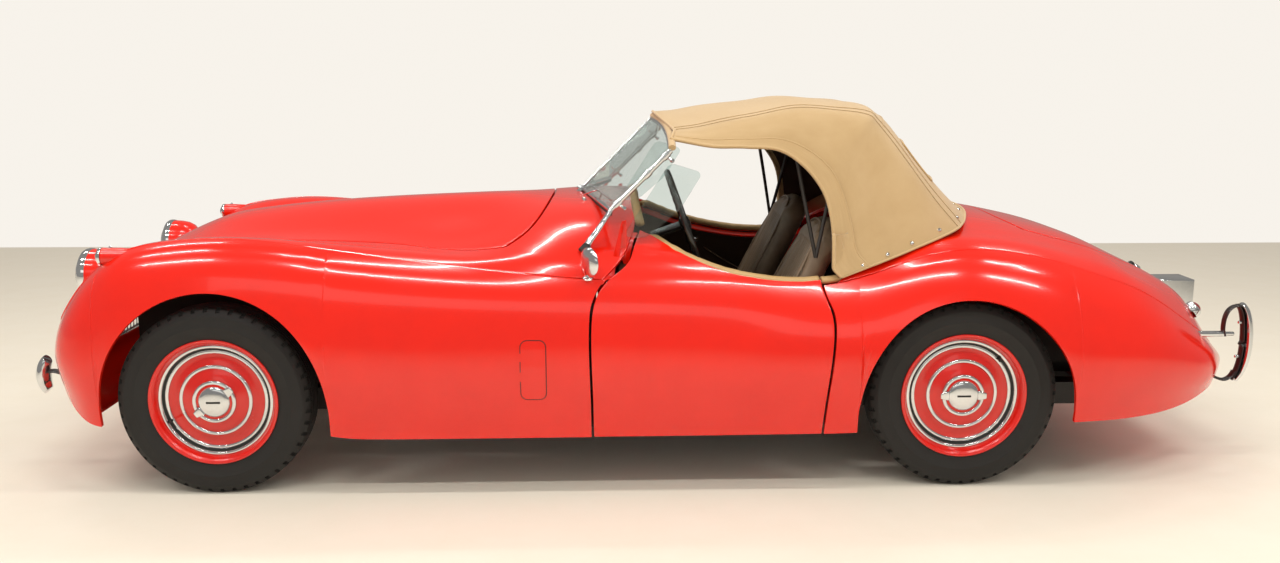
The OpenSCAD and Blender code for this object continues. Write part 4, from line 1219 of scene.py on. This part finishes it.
@dataclass
class SoftTop:
    """The hood's cloth, lining, seams, window, fasteners and sticks."""

    rows: int = 90
    columns: int = 96
    lie: float = 0.007
    bows: tuple[float, ...] = (1.4, 3.2, 5.0)

    def __post_init__(self) -> None:
        """Keeps the panels that the cloth lies on."""
        self.deck = Skin(("rear_shroud", "rear_wing_left", "rear_wing_right"))

    def at(self, u: float, s: float, inwards: float = 0.0) -> Vector:
        """Point of the cloth.

        Args:
            u: 0 at the header to 9 at the deck.
            s: 0 at the left edge to 6 at the right edge.
            inwards: distance inside the outer face, in metres; not used.

        Returns:
            The point.
        """
        knots = []
        for line, sign in (
            (HOOD_EDGE, -1), (HOOD_SIDE, -1), (HOOD_SEAM, -1), (
                HOOD_CENTRE, 1
            ), (HOOD_SEAM, 1), (HOOD_SIDE, 1), (HOOD_EDGE, 1)
        ):
            d, y, z = between(line, u)
            knots.append(mm(d, sign * y, z))
        i = min(int(s), 5)
        t = s - i
        before, after = knots[max(i - 1, 0)], knots[min(i + 2, 6)]
        a, b = knots[i], knots[i + 1]
        h = (b - a).length
        into = (b - before).normalized() * h
        out = (after - a).normalized() * h
        point = a * (
            2 * t**3 - 3 * t**2 + 1
        ) + into * (t**3 - 2 * t**2 + t) + b * (3 * t**2 - 2 * t**3) + out * (t**3 - t**2)
        return point

    def cloth(self, u: float, s: float, inwards: float) -> Vector:
        """Point of a layer of the hood, slack between the sticks and lying on the deck."""
        step = 0.04
        along = self.at(min(u + step, 9), s) - self.at(max(u - step, 0), s)
        across = self.at(u, min(s + step, 6)) - self.at(u, max(s - step, 0))
        normal = along.cross(across).normalized()
        roof = max(0.0, 1 - abs(s - 3) / 2.6)
        slack = 0.0
        stays = (0.0, *self.bows, 6.0, 9.0)
        for a, b in zip(stays, stays[1:]):
            if a <= u <= b:
                slack = 0.005 * math.sin(math.pi * (u - a) / (b - a)) ** 2
        ripple = noise.noise(Vector((u * 1.3, s * 1.9, 0.3))) * 0.0018
        pull = 0.0015 * math.sin(s * 9 + u * 3.1) * max(0.0, (u - 6.5) / 2.5)
        point = self.at(u, s) - normal * (inwards + slack * roof - ripple - pull)
        if u > 7.2:
            floor = self.deck.top(point.x, point.y).z + self.lie + 0.004 - inwards * 0.5
            point.z = max(point.z, floor)
        return point

    def layer(self, inwards: float, margin: float) -> bmesh.types.BMesh:
        """One layer of the hood, with a UV map in metres."""
        bm = patch(
            self.rows, self.columns,
            lambda a, b: self.cloth(margin + (9 - 8 * margin) * a, margin + (6 - 2 * margin) * b, inwards),
        )
        layer = bm.loops.layers.uv.verify()
        for face in bm.faces:
            for loop in face.loops:
                u, v = loop[layer].uv
                loop[layer].uv = (u * 2.0, v * 2.1)
        return bm

    def build(self) -> None:
        """Builds the hood's pieces."""
        outer = self.layer(0.001, 0.0)
        liner = self.layer(0.011, 0.13)
        area, inner = (sum(f.calc_area() for f in bm.faces) for bm in (outer, liner))
        cloth = piece(outer, "hood_cloth_cover", HOOD_CLOTH, stands_for=["soft_top"], wall=0.003)
        self.trim()
        lining = piece(liner, "hood_lining_cover", LINING, wall=0.0015)
        LOG.info("hood areas %.3f %.3f", area, inner)
        self.sticks()

    def run(
        self, fixed: str, value: float, start: float, end: float, lift: float, count: int = 80
    ) -> list[Vector]:
        """Line on the cloth along which u or s keeps one value."""
        line = []
        for i in range(count + 1):
            free = start + (end - start) * i / count
            u, s = (value, free) if fixed == "u" else (free, value)
            line.append(self.cloth(u, s, -lift))
        return line

    def trim(self) -> None:
        """Builds the seams, bindings, window and fasteners."""
        seams = []
        for s in (1.95, 2.08, 3.92, 4.05):
            seams.append(tube(self.run("s", s, 0.05, 8.95, 0.0004), 0.0016, 6, flat=0.7))
        seams.append(tube(self.run("u", 5.9, 2.02, 3.98, 0.0004), 0.0016, 6, flat=0.7))
        piece(join(seams), "hood_seams", HOOD_CLOTH, sharp=80)
        edges = []
        for s in (0.0, 6.0):
            inner = 0.42 if s == 0 else 5.58
            edges.append(tube(self.run("s", s, 0.0, 9.0, -0.001), 0.0065, 10))
            edges.append(tube(self.run("s", inner, 0.1, 9.0, 0.0026), 0.0026, 8))
        edges.append(tube(self.run("u", 9.0, 0.0, 6.0, -0.001), 0.0045, 10))
        edges.append(tube(self.run("u", 0.0, 0.0, 6.0, -0.001), 0.0055, 10))
        piece(join(edges), "hood_binding", HOOD_CLOTH, sharp=80)
        for label, inner, outer in (("left", 0.42, 0.02), ("right", 5.58, 5.98)):
            band = patch(90, 4, lambda a, b: self.cloth(0.05 + 8.9 * a, outer + (inner - outer) * b, -0.0035))
            if label == "right":
                bmesh.ops.reverse_faces(band, faces=band.faces)
            piece(band, "hood_hem_" + label, HOOD_CLOTH, wall=0.003)
        studs = []
        for s in (0.35, 0.75, 1.15, 1.6, 2.1, 2.5, 2.8, 3.2, 3.5, 3.9, 4.4, 4.85, 5.25, 5.65):
            point = self.cloth(8.8, s, 0.0)
            nearby = self.cloth(8.8, s + 0.05, 0.0)
            below = self.cloth(8.6, s, 0.0)
            normal = (point - below).cross(nearby - point)
            studs.append(
                lathe([(0, 4.4), (4, 4), (6.4, 2), (7.5, 0.4), (7.5, -1), (0, -1)], aim(point, normal), 20)
            )
        piece(join(studs), "hood_fasteners", CHROME)
        glass = patch(16, 24, lambda a, b: self.cloth(6.7 + 1.1 * a, 2.25 + 1.5 * b, -0.0012))
        piece(glass, "hood_window", GLASS, wall=0.0008)
        frame_line = (
            self.run("u", 6.7, 2.25, 3.75, 0.002, 24) + self.run("s", 3.75, 6.75, 7.75, 0.002, 16)
            + self.run("u", 7.8, 3.75, 2.25, 0.002, 24) + self.run("s", 2.25, 7.75, 6.75, 0.002, 16)
        )
        piece(tube(frame_line, 0.0035, 8, closed=True), "hood_window_binding", HOOD_CLOTH, sharp=80)

    def sticks(self) -> None:
        """Builds the hood sticks under the cloth."""
        shapes = []
        for u in self.bows:
            shapes.append(tube([self.cloth(u, 0.9 + 4.2 * i / 40, 0.024) for i in range(41)], 0.008, 10))
        for side in Side:
            s = side.value
            pivot = mm(2080, s * 575, 800)
            for u in (3.2, 5.0):
                top = self.cloth(u, 3 + s * 2.1, 0.024)
                shapes.append(
                    tube(
                        smooth_line([top, top.lerp(pivot, 0.5) - Vector((0, s * 0.012, 0)), pivot], 8), 0.007,
                        10
                    )
                )
        piece(join(shapes), "hood_sticks_bent", STICK, stands_for=["hood_frame"])


# ---- cabin ----


def inflate(source: bmesh.types.BMesh, name: str, swell: float, pressure: float = 4.0) -> bmesh.types.BMesh:
    """Swells a closed shape as a stuffed cover does, by cloth simulation.

    Args:
        source: the closed shape, a little smaller than the cushion.
        name: the name of the object that is used for it.
        swell: the furthest that a point may move, in metres.
        pressure: pressure inside the cover.

    Returns:
        The swollen shape.
    """
    mesh = bpy.data.meshes.new(name + "_core")
    source.to_mesh(mesh)
    source.free()
    obj = bpy.data.objects.new(name + "_core", mesh)
    bpy.context.scene.collection.objects.link(obj)
    remesh = obj.modifiers.new("even", "REMESH")
    remesh.mode = "VOXEL"
    remesh.voxel_size = 0.007
    graph = bpy.context.evaluated_depsgraph_get()
    even = bpy.data.meshes.new_from_object(obj.evaluated_get(graph))
    obj.modifiers.clear()
    obj.data = even
    rest = [v.co.copy() for v in even.vertices]
    cloth = obj.modifiers.new("cloth", "CLOTH")
    cloth.settings.use_pressure = True
    cloth.settings.uniform_pressure_force = pressure
    cloth.settings.effector_weights.gravity = 0.0
    cloth.settings.quality = 5
    scene = bpy.context.scene
    for step in range(1, 21):
        scene.frame_set(step)
    graph = bpy.context.evaluated_depsgraph_get()
    blown = [v.co.copy() for v in obj.evaluated_get(graph).data.vertices]
    scene.frame_set(1)
    obj.modifiers.clear()
    for vert, start, end in zip(even.vertices, rest, blown):
        move = end - start
        vert.co = start + move * min(1.0, swell / max(move.length, 1e-9))
    bm = bmesh.new()
    bm.from_mesh(even)
    bmesh.ops.smooth_vert(bm, verts=bm.verts, factor=0.5, use_axis_x=True, use_axis_y=True, use_axis_z=True)
    bpy.data.objects.remove(obj)
    return bm


@dataclass
class Cabin:
    """The seats, dash, controls, trim and carpets."""

    seat_y: float = 0.372
    wheel_centre: tuple[float, float, float] = (1634, -350, 891)
    column_tilt: float = 19.0
    rim: tuple = ((1496, 505), (1596, 588), (1740, 644), (1872, 655), (2016, 651), (2078, 644))
    seat_lean: float = 26.0
    seat_foot: float = 1930
    flutes: int = 8

    def build(self) -> None:
        """Builds everything inside the cockpit."""
        self.seats()
        self.dash()
        self.steering()
        self.trim()
        self.controls()

    def cushion_core(self) -> bmesh.types.BMesh:
        """Shape of a seat cushion before it swells, round y = 0."""
        bm = block((st(1508), -0.188, 0.322), (st(1922), 0.188, 0.422), 0.035, 4)
        for vert in bm.verts:
            ahead = (st(1922) - vert.co.x) / 0.414
            if vert.co.z > 0.37:
                vert.co.z += 0.018 * ahead
        return bm

    def back_core(self) -> bmesh.types.BMesh:
        """Shape of a seat back before it swells, round y = 0."""
        bm = block((-0.036, -0.192, 0.0), (0.036, 0.192, 0.565), 0.03, 4)
        bmesh.ops.subdivide_edges(
            bm, edges=[e for e in bm.edges if e.calc_length() > 0.1], cuts=10, use_grid_fill=True
        )
        lean = Matrix.Translation(
            Vector((st(self.seat_foot), 0, 0.415))
        ) @ Matrix.Rotation(math.radians(self.seat_lean), 4, "Y")
        for vert in bm.verts:
            high = vert.co.z / 0.565
            edge = min(1.0, abs(vert.co.y) / 0.192)
            vert.co.z -= 0.11 * edge**2.6 * max(0.0, high - 0.35)
            vert.co.y *= 1 - 0.14 * max(0.0, high - 0.6)
            vert.co.x -= 0.022 * edge**2 * (1 - 0.4 * high)
        bmesh.ops.transform(bm, matrix=lean, verts=bm.verts)
        return bm

    def seats(self) -> None:
        """Builds two fluted bucket seats, each a cushion and a back with piping."""
        cores = {
            "cushion": inflate(self.cushion_core(), "cushion", 0.012),
            "back": inflate(self.back_core(), "back", 0.012),
        }
        for part, bm in cores.items():
            bm.normal_update()
            for vert in bm.verts:
                y = vert.co.y
                if abs(y) < 0.125:
                    on_face = vert.normal.z > 0.6 if part == "cushion" else vert.normal.x < -0.6
                    low = vert.co.z < 0.84
                    if on_face and low:
                        wave = abs(math.sin(math.pi * self.flutes * (y + 0.125) / 0.25))
                        fade = min(1.0, (0.125 - abs(y)) / 0.02)
                        vert.co -= vert.normal * 0.009 * (1 - wave**0.6) * fade
        whole = {part: bpy.data.meshes.new(part) for part in cores}
        for part, bm in cores.items():
            bm.to_mesh(whole[part])
            bm.free()
        for side in Side:
            for part, mesh in whole.items():
                bm = bmesh.new()
                bm.from_mesh(mesh)
                bmesh.ops.translate(bm, verts=bm.verts, vec=(0, side.value * self.seat_y, 0))
                stands = ["seats"] if side is Side.LEFT and part == "cushion" else []
                obj = piece(
                    bm, f"seat_{part}_{side.label}", SEAT_HIDE, stands_for=stands, sharp=180, subdivide=1
                )
            self.seat_piping(side)

    def seat_piping(self, side: Side) -> None:
        """Lays the piping round a seat back."""
        y0 = side.value * self.seat_y
        lean = Matrix.Translation(
            Vector((st(self.seat_foot), y0, 0.415))
        ) @ Matrix.Rotation(math.radians(self.seat_lean), 4, "Y")
        ring = []
        for i in range(49):
            a = math.pi * i / 48
            y = -0.17 * math.copysign(abs(math.cos(a)) ** 0.5, math.cos(a))
            z = 0.03 + 0.5 * math.sin(a) ** 0.45
            edge = min(1.0, abs(y) / 0.192)
            high = z / 0.565
            z -= 0.11 * edge**2.6 * max(0.0, high - 0.35)
            ring.append(
                lean @ Vector(
                    (-0.041 - 0.022 * edge**2 * (1 - 0.4 * high), y * (1 - 0.14 * max(0.0, high - 0.6)), z)
                )
            )
        piece(tube(ring, 0.0042, 8), f"seat_piping_{side.label}", SEAT_HIDE, sharp=80)

    def dash(self) -> None:
        """Builds the dash with its dials."""
        node = frame["nodes"]["dashboard"]
        bm = bmesh.new()
        bm.from_mesh(node.data)
        bmesh.ops.remove_doubles(bm, verts=bm.verts, dist=0.00005)
        bmesh.ops.dissolve_limit(bm, angle_limit=math.radians(2), verts=bm.verts, edges=bm.edges)
        rims = [e for e in bm.edges if len(e.link_faces) == 2 and e.calc_face_angle(0.0) > math.radians(60)]
        bmesh.ops.bevel(
            bm, geom=rims, offset=0.006, segments=3, profile=0.5, affect="EDGES", clamp_overlap=True,
            material=-1
        )
        piece(bm, "dash_panel", DARK_HIDE, stands_for=["dashboard"], sharp=35)
        face = st(1430)
        bezels = []
        faces = []
        needles = []
        for y, z, r in (
            (-0.245, 0.79, 52), (-0.445, 0.80, 52), (-0.06, 0.81, 27), (0.04, 0.81, 27), (-0.06, 0.745, 27),
            (0.04, 0.745, 27)
        ):
            place = aim((face, y, z), (1, 0, 0))
            bezels.append(
                lathe([(r - 3, 0), (r + 2, 0), (r + 2.4, 3), (r, 6), (r - 3, 5), (r - 3, 0)], place, 64)
            )
            faces.append(lathe([(0, 2.2), (r - 3, 2.2), (r - 3, 0.5), (0, 0.5)], place, 48))
            for k in range(9):
                turn = math.radians(-130 + 32.5 * k)
                spot = place @ Vector((math.sin(turn) * (r - 9) * MM, math.cos(turn) * (r - 9) * MM, 0.0028))
                needles.append(
                    block(
                        spot - Vector((0.0004, 0.0012, 0.0012)), spot + Vector((0.0004, 0.0012, 0.0012)),
                        0.0002, 1
                    )
                )
        piece(join(bezels), "dial_bezels", CHROME)
        piece(join(faces), "dial_faces", BAKELITE)
        piece(join(needles), "dial_marks", CAPPING)

    def steering(self) -> None:
        """Builds the steering wheel: rim, wire spokes, boss and column."""
        lean = math.radians(self.column_tilt)
        place = aim(mm(*self.wheel_centre), (math.cos(lean), 0, math.sin(lean)))
        rim = [
            place @ Vector((0.2 * math.cos(a), 0.2 * math.sin(a), 0))
            for a in (math.tau * i / 96 for i in range(96))
        ]
        black = tube(rim, 0.0115, 14, closed=True)
        for vert in black.verts:
            local = place.inverted() @ vert.co
            turn = math.atan2(local.y, local.x)
            if local.z < -0.002:
                vert.co += (place.to_3x3() @ Vector((0, 0, 1))) * 0.0014 * max(0.0, math.sin(turn * 30))
        boss = lathe([(0, 22), (20, 20), (30, 14), (33, 4), (30, -10), (20, -18), (0, -18)], place, 48)
        column = lathe([(0, -16), (15.5, -18), (15.5, -588), (0, -588)], place, 32)
        piece(join([black, boss, column]), "steering_rim", BAKELITE, "steering_wheel", ["steering_wheel"])
        wires = []
        for k in range(3):
            for offset in (-0.009, -0.003, 0.003, 0.009):
                turn = math.radians(90 + 120 * k)
                out = Vector((math.cos(turn), math.sin(turn), 0))
                aside = Vector((-math.sin(turn), math.cos(turn), 0)) * offset
                wires.append(
                    tube(
                        [
                            place @ (out * 0.028 + aside),
                            place @ (out * 0.11 + aside - Vector((0, 0, 0.004))),
                            place @ (out * 0.194 + aside)
                        ],
                        0.0022, 8
                    )
                )
        piece(join(wires), "steering_spokes", CHROME, "steering_wheel")

    def roll(self, line: Sequence[Vector], radius: float) -> bmesh.types.BMesh:
        """Padded roll along a line, lower than it is wide."""
        return tube(line, radius, 16, flat=0.75)

    def trim(self) -> None:
        """Builds the door cappings, cockpit rolls, door cards and carpets."""
        for side in Side:
            s = side.value
            door = Skin((f"door_{side.label}",))
            line = []
            for i in range(49):
                d = 1496 + (2078 - 1496) * i / 48
                y = between(self.rim, d)[0]
                point = door.top(st(d), s * (y + 12) * MM)
                line.append(Vector((st(d), s * y * MM, point.z + 0.001)))
            capping = piece(
                self.roll(line, 0.0185), f"capping_roll_{side.label}", CAPPING, f"door_{side.label}",
                [f"door_capping_{side.label}"], sharp=180,
            )
            self.card(side, door)
        shroud = Skin(("front_shroud",))
        line = []
        for i in range(-24, 25):
            y = i / 24 * 0.47
            d = 1452 + 14 * (abs(i) / 24) ** 4
            line.append(Vector((st(d), y, shroud.top(st(d - 22), y).z - 0.004)))
        piece(self.roll(line, 0.017), "cowl_roll", CAPPING, sharp=180)

        def floor_at(side: Side) -> Callable[[float, float], Vector]:
            """Carpet surface on one side of the tunnel."""
            return lambda u, v: mm(
                1050 + 1070 * u, side.value * (168 + 455 * v),
                297 + 1.5 * noise.noise(Vector((u * 9, v * 5, 0)))
            )

        for side in Side:
            sheet = patch(40, 20, floor_at(side))
            if side is Side.RIGHT:
                bmesh.ops.reverse_faces(sheet, faces=sheet.faces)
            piece(sheet, f"carpet_{side.label}", CARPET, wall=-0.005)
        tunnel = [
            [mm(1040 + 1090 * i / 20, y, z) for i in range(21)]
            for y, z in ((-166, 300), (-166, 470), (-150, 488), (150, 488), (166, 470), (166, 300))
        ]
        cover = patch(20, 5, lambda u, v: tunnel[round(v * 5)][round(u * 20)].copy())
        piece(cover, "tunnel_carpet", CARPET, sharp=80, wall=0.003)
        rear = patch(8, 24, lambda u, v: mm(2384 - 150 * u * u, -500 + 1000 * v, 425 + 250 * (1 - u)))
        piece(rear, "rear_trim", DARK_HIDE, wall=0.003)

    def card(self, side: Side, door: Skin) -> None:
        """Builds the trimmed card inside a door, with its pull and strap."""
        s = side.value

        def at(u: float, v: float) -> Vector:
            """Point of the card, a little inside the door."""
            x = st(1345 + 715 * u)
            rim = between(self.rim, 1345 + 715 * u)[0]
            z = 0.235 + (door.top(x, s * (rim + 12) * MM).z - 0.25) * v
            hit, _ = door.cast((x, 0.0, z), (0, s, 0))
            return Vector((x, hit.y - s * (0.003 + 0.004 * math.sin(math.pi * u) * math.sin(math.pi * v)), z))

        card = patch(30, 18, at)
        if side is Side.LEFT:
            bmesh.ops.reverse_faces(card, faces=card.faces)
        piece(card, f"door_card_{side.label}", DARK_HIDE, f"door_{side.label}", wall=0.002)
        spot = at(0.56, 0.86) - Vector((0, s * 0.004, 0))
        knob = lathe(
            [(0, 22), (10, 20), (14, 15), (13, 8), (6, 5), (6, 2), (16, 1), (16, 0), (0, 0)],
            aim(spot, (0, -s, 0)), 32
        )
        piece(knob, f"door_knob_{side.label}", CHROME, f"door_{side.label}")
        strap = [
            at(0.62 + 0.3 * i / 12, 0.80 - 0.22 * i / 12) - Vector(
                (0, s * (0.004 + 0.01 * math.sin(math.pi * i / 12)), 0)
            )
            for i in range(13)
        ]
        piece(tube(strap, 0.006, 8, flat=0.4), f"door_strap_{side.label}", SEAT_HIDE, f"door_{side.label}")

    def controls(self) -> None:
        """Builds the gear lever, hand brake and pedals."""
        lever = smooth_line([mm(1400, 0, 484), mm(1405, 0, 560), mm(1430, 0, 640)], 6)
        knob = lathe(
            [(0, 24), (14, 20), (20, 8), (18, -6), (8, -16), (0, -16)], aim(mm(1436, 0, 652), (0.3, 0, 1)), 32
        )
        gaiter = lathe(
            [(52, 0), (44, 12), (46, 18), (34, 28), (36, 34), (22, 46), (12, 58), (9, 60), (0, 60)],
            aim(mm(1400, 0, 487), (0, 0, 1)), 40
        )
        piece(tube(lever, 0.006, 12), "gear_lever", CHROME)
        piece(join([knob, gaiter]), "gear_knob", BAKELITE)
        brake = smooth_line([mm(1640, -95, 495), mm(1600, -95, 560), mm(1545, -95, 610)], 6)
        piece(tube(brake, 0.008, 12), "hand_brake", CHROME)
        pads = []
        for y in (-240, -330, -420):
            pads.append(block(mm(1092, y - 26, 420), mm(1102, y + 26, 478), 0.003, 2))
            pads.append(tube([mm(1092, y, 450), mm(1070, y, 560), mm(1046, y, 640)], 0.007, 10))
        piece(join(pads), "pedals", PAD_RUBBER)


# ---- running gear ----


@dataclass
class RunningGear:
    """Finishes for the CAD pieces below, and a few pieces that dress them."""

    finishes: tuple = (
        (
            "chassis_frame", CHASSIS
        ), ("outriggers", CHASSIS), ("floor_pan", UNDERSEAL), ("engine_block", ENGINE),
        ("driveline", ALLOY), ("exhaust_system", EXHAUST), ("fuel_tank", UNDERSEAL), (
            "front_suspension", CHASSIS
        ),
        ("rear_axle", CHASSIS), ("knuckle_left", ALLOY), ("knuckle_right", ALLOY),
    )

    def build(self) -> None:
        """Dresses the CAD nodes and adds springs and the tail pipe's lip."""
        for name, finish in self.finishes:
            mesh = frame["nodes"][name].data
            mesh.materials.clear()
            mesh.materials.append(finish.material())
        for side in Side:
            self.coil(side)
        lip = lathe(
            [(22, -2), (24, 0), (24, 6), (20, 6), (19, -2), (22, -2)], aim(mm(3512, 200, 158), (1, 0, 0)), 32
        )
        piece(lip, "tail_pipe_lip", EXHAUST)

    def coil(self, side: Side) -> None:
        """Winds a front coil spring between the arms."""
        turns, low, high = 5.5, 0.236, 0.424
        line = []
        for i in range(int(turns * 20) + 1):
            a = math.tau * i / 20
            rise = low + (high - low) * i / (turns * 20)
            line.append(
                Vector((FRONT_AXLE + 0.045 * math.cos(a), side.value * (0.435 + 0.045 * math.sin(a)), rise))
            )
        piece(tube(line, 0.006, 8), f"coil_spring_{side.label}", CHASSIS)


# ---- studio ----


@dataclass
class Studio:
    """Camera, floor and light."""

    lens_mm: float = 31.26375
    eye: tuple[float, float, float] = (-0.140, -4.404, 1.456)
    dip: float = 10.90
    turn: float = -1.43

    def build(self) -> None:
        """Builds the floor, the lights and the camera."""
        self.camera()
        floor = piece_floor()
        self.lights()

    def camera(self) -> None:
        """Places the camera and makes it the scene's."""
        data = bpy.data.cameras.new("camera")
        data.sensor_width = 36.0
        data.lens = self.lens_mm
        data.clip_end = 100.0
        obj = bpy.data.objects.new("camera", data)
        obj.location = self.eye
        obj.rotation_euler = (math.radians(90 - self.dip), 0.0, math.radians(self.turn))
        bpy.context.scene.collection.objects.link(obj)
        bpy.context.scene.camera = obj

    def lights(self) -> None:
        """Hangs soft boxes over and beside the car, in a pale room."""
        for name, at, look, size, power, tint in (
            *(
                (
                    f"tube_{row}_{k}", (-3.3 + 2.2 * k, y, z), (-3.3 + 2.2 * k, y * 0.4, 0.0), (1.25, 0.1),
                    power, "FFFDF8"
                )
                for row, (y, z, power) in enumerate(((-2.7, 3.6, 22.0), (-1.2, 4.0, 22.0), (1.4, 4.0, 18.0)))
                for k in range(4)
            ),
            ("near_side", (-0.6, -7.5, 3.4), (0.0, 0.0, 0.4), (7.0, 1.4), 26.0, "FFFCF5"),
        ):
            data = bpy.data.lights.new(name, "AREA")
            data.shape = "RECTANGLE"
            data.size, data.size_y = size
            data.energy = power
            data.color = linear(tint)[:3]
            obj = bpy.data.objects.new(name, data)
            obj.location = at
            obj.rotation_euler = (Vector(look) - Vector(at)).to_track_quat("-Z", "Y").to_euler()
            bpy.context.scene.collection.objects.link(obj)
        world = bpy.data.worlds.new("room")
        world.use_nodes = True
        tree = world.node_tree
        tree.nodes.clear()
        seen = add(tree, "LightPath", {})
        glossy = add(tree, "MapRange", {0: seen.outputs["Is Glossy Ray"], 3: 0.78, 4: 0.3})
        direct = add(
            tree, "Math", {
                0: seen.outputs["Is Camera Ray"], 1: seen.outputs["Is Transmission Ray"]
            }, operation="MAXIMUM"
        )
        level = add(tree, "MapRange", {0: direct.outputs[0], 3: glossy.outputs[0], 4: 0.97})
        back = add(tree, "Background", {"Color": linear("FBF6EE"), "Strength": level.outputs[0]})
        room = add(tree, "OutputWorld", {})
        tree.links.new(back.outputs[0], room.inputs[0])
        bpy.context.scene.world = world
        bpy.context.scene.view_settings.view_transform = "Standard"


def piece_floor() -> bpy.types.Object:
    """The pale floor, which ends behind the car where the wall begins."""
    bm = patch(8, 8, lambda u, v: Vector((-14 + 28 * u, -12 + 16.77 * v, 0)))
    mesh = bpy.data.meshes.new("floor")
    bm.to_mesh(mesh)
    bm.free()
    mesh.materials.append(FLOOR.material())
    obj = bpy.data.objects.new("floor", mesh)
    bpy.context.scene.collection.objects.link(obj)
    return obj


def main() -> None:
    """Builds the car's looks, piece by piece, and the studio round it."""
    logging.basicConfig(level=logging.INFO, format="%(name)s %(message)s")
    Studio().build()
    Coachwork().build()
    for side in Side:
        RoadWheel("front", side, FRONT_AXLE, 0.6475, 35.0, 205.0).build()
        RoadWheel("rear", side, REAR_AXLE, 0.635, 0.0, 45.0).build()
    Lamps().build()
    Brightwork().build()
    Windscreen().build()
    SoftTop().build()
    Cabin().build()
    RunningGear().build()


if __name__ == "__main__":
    main()
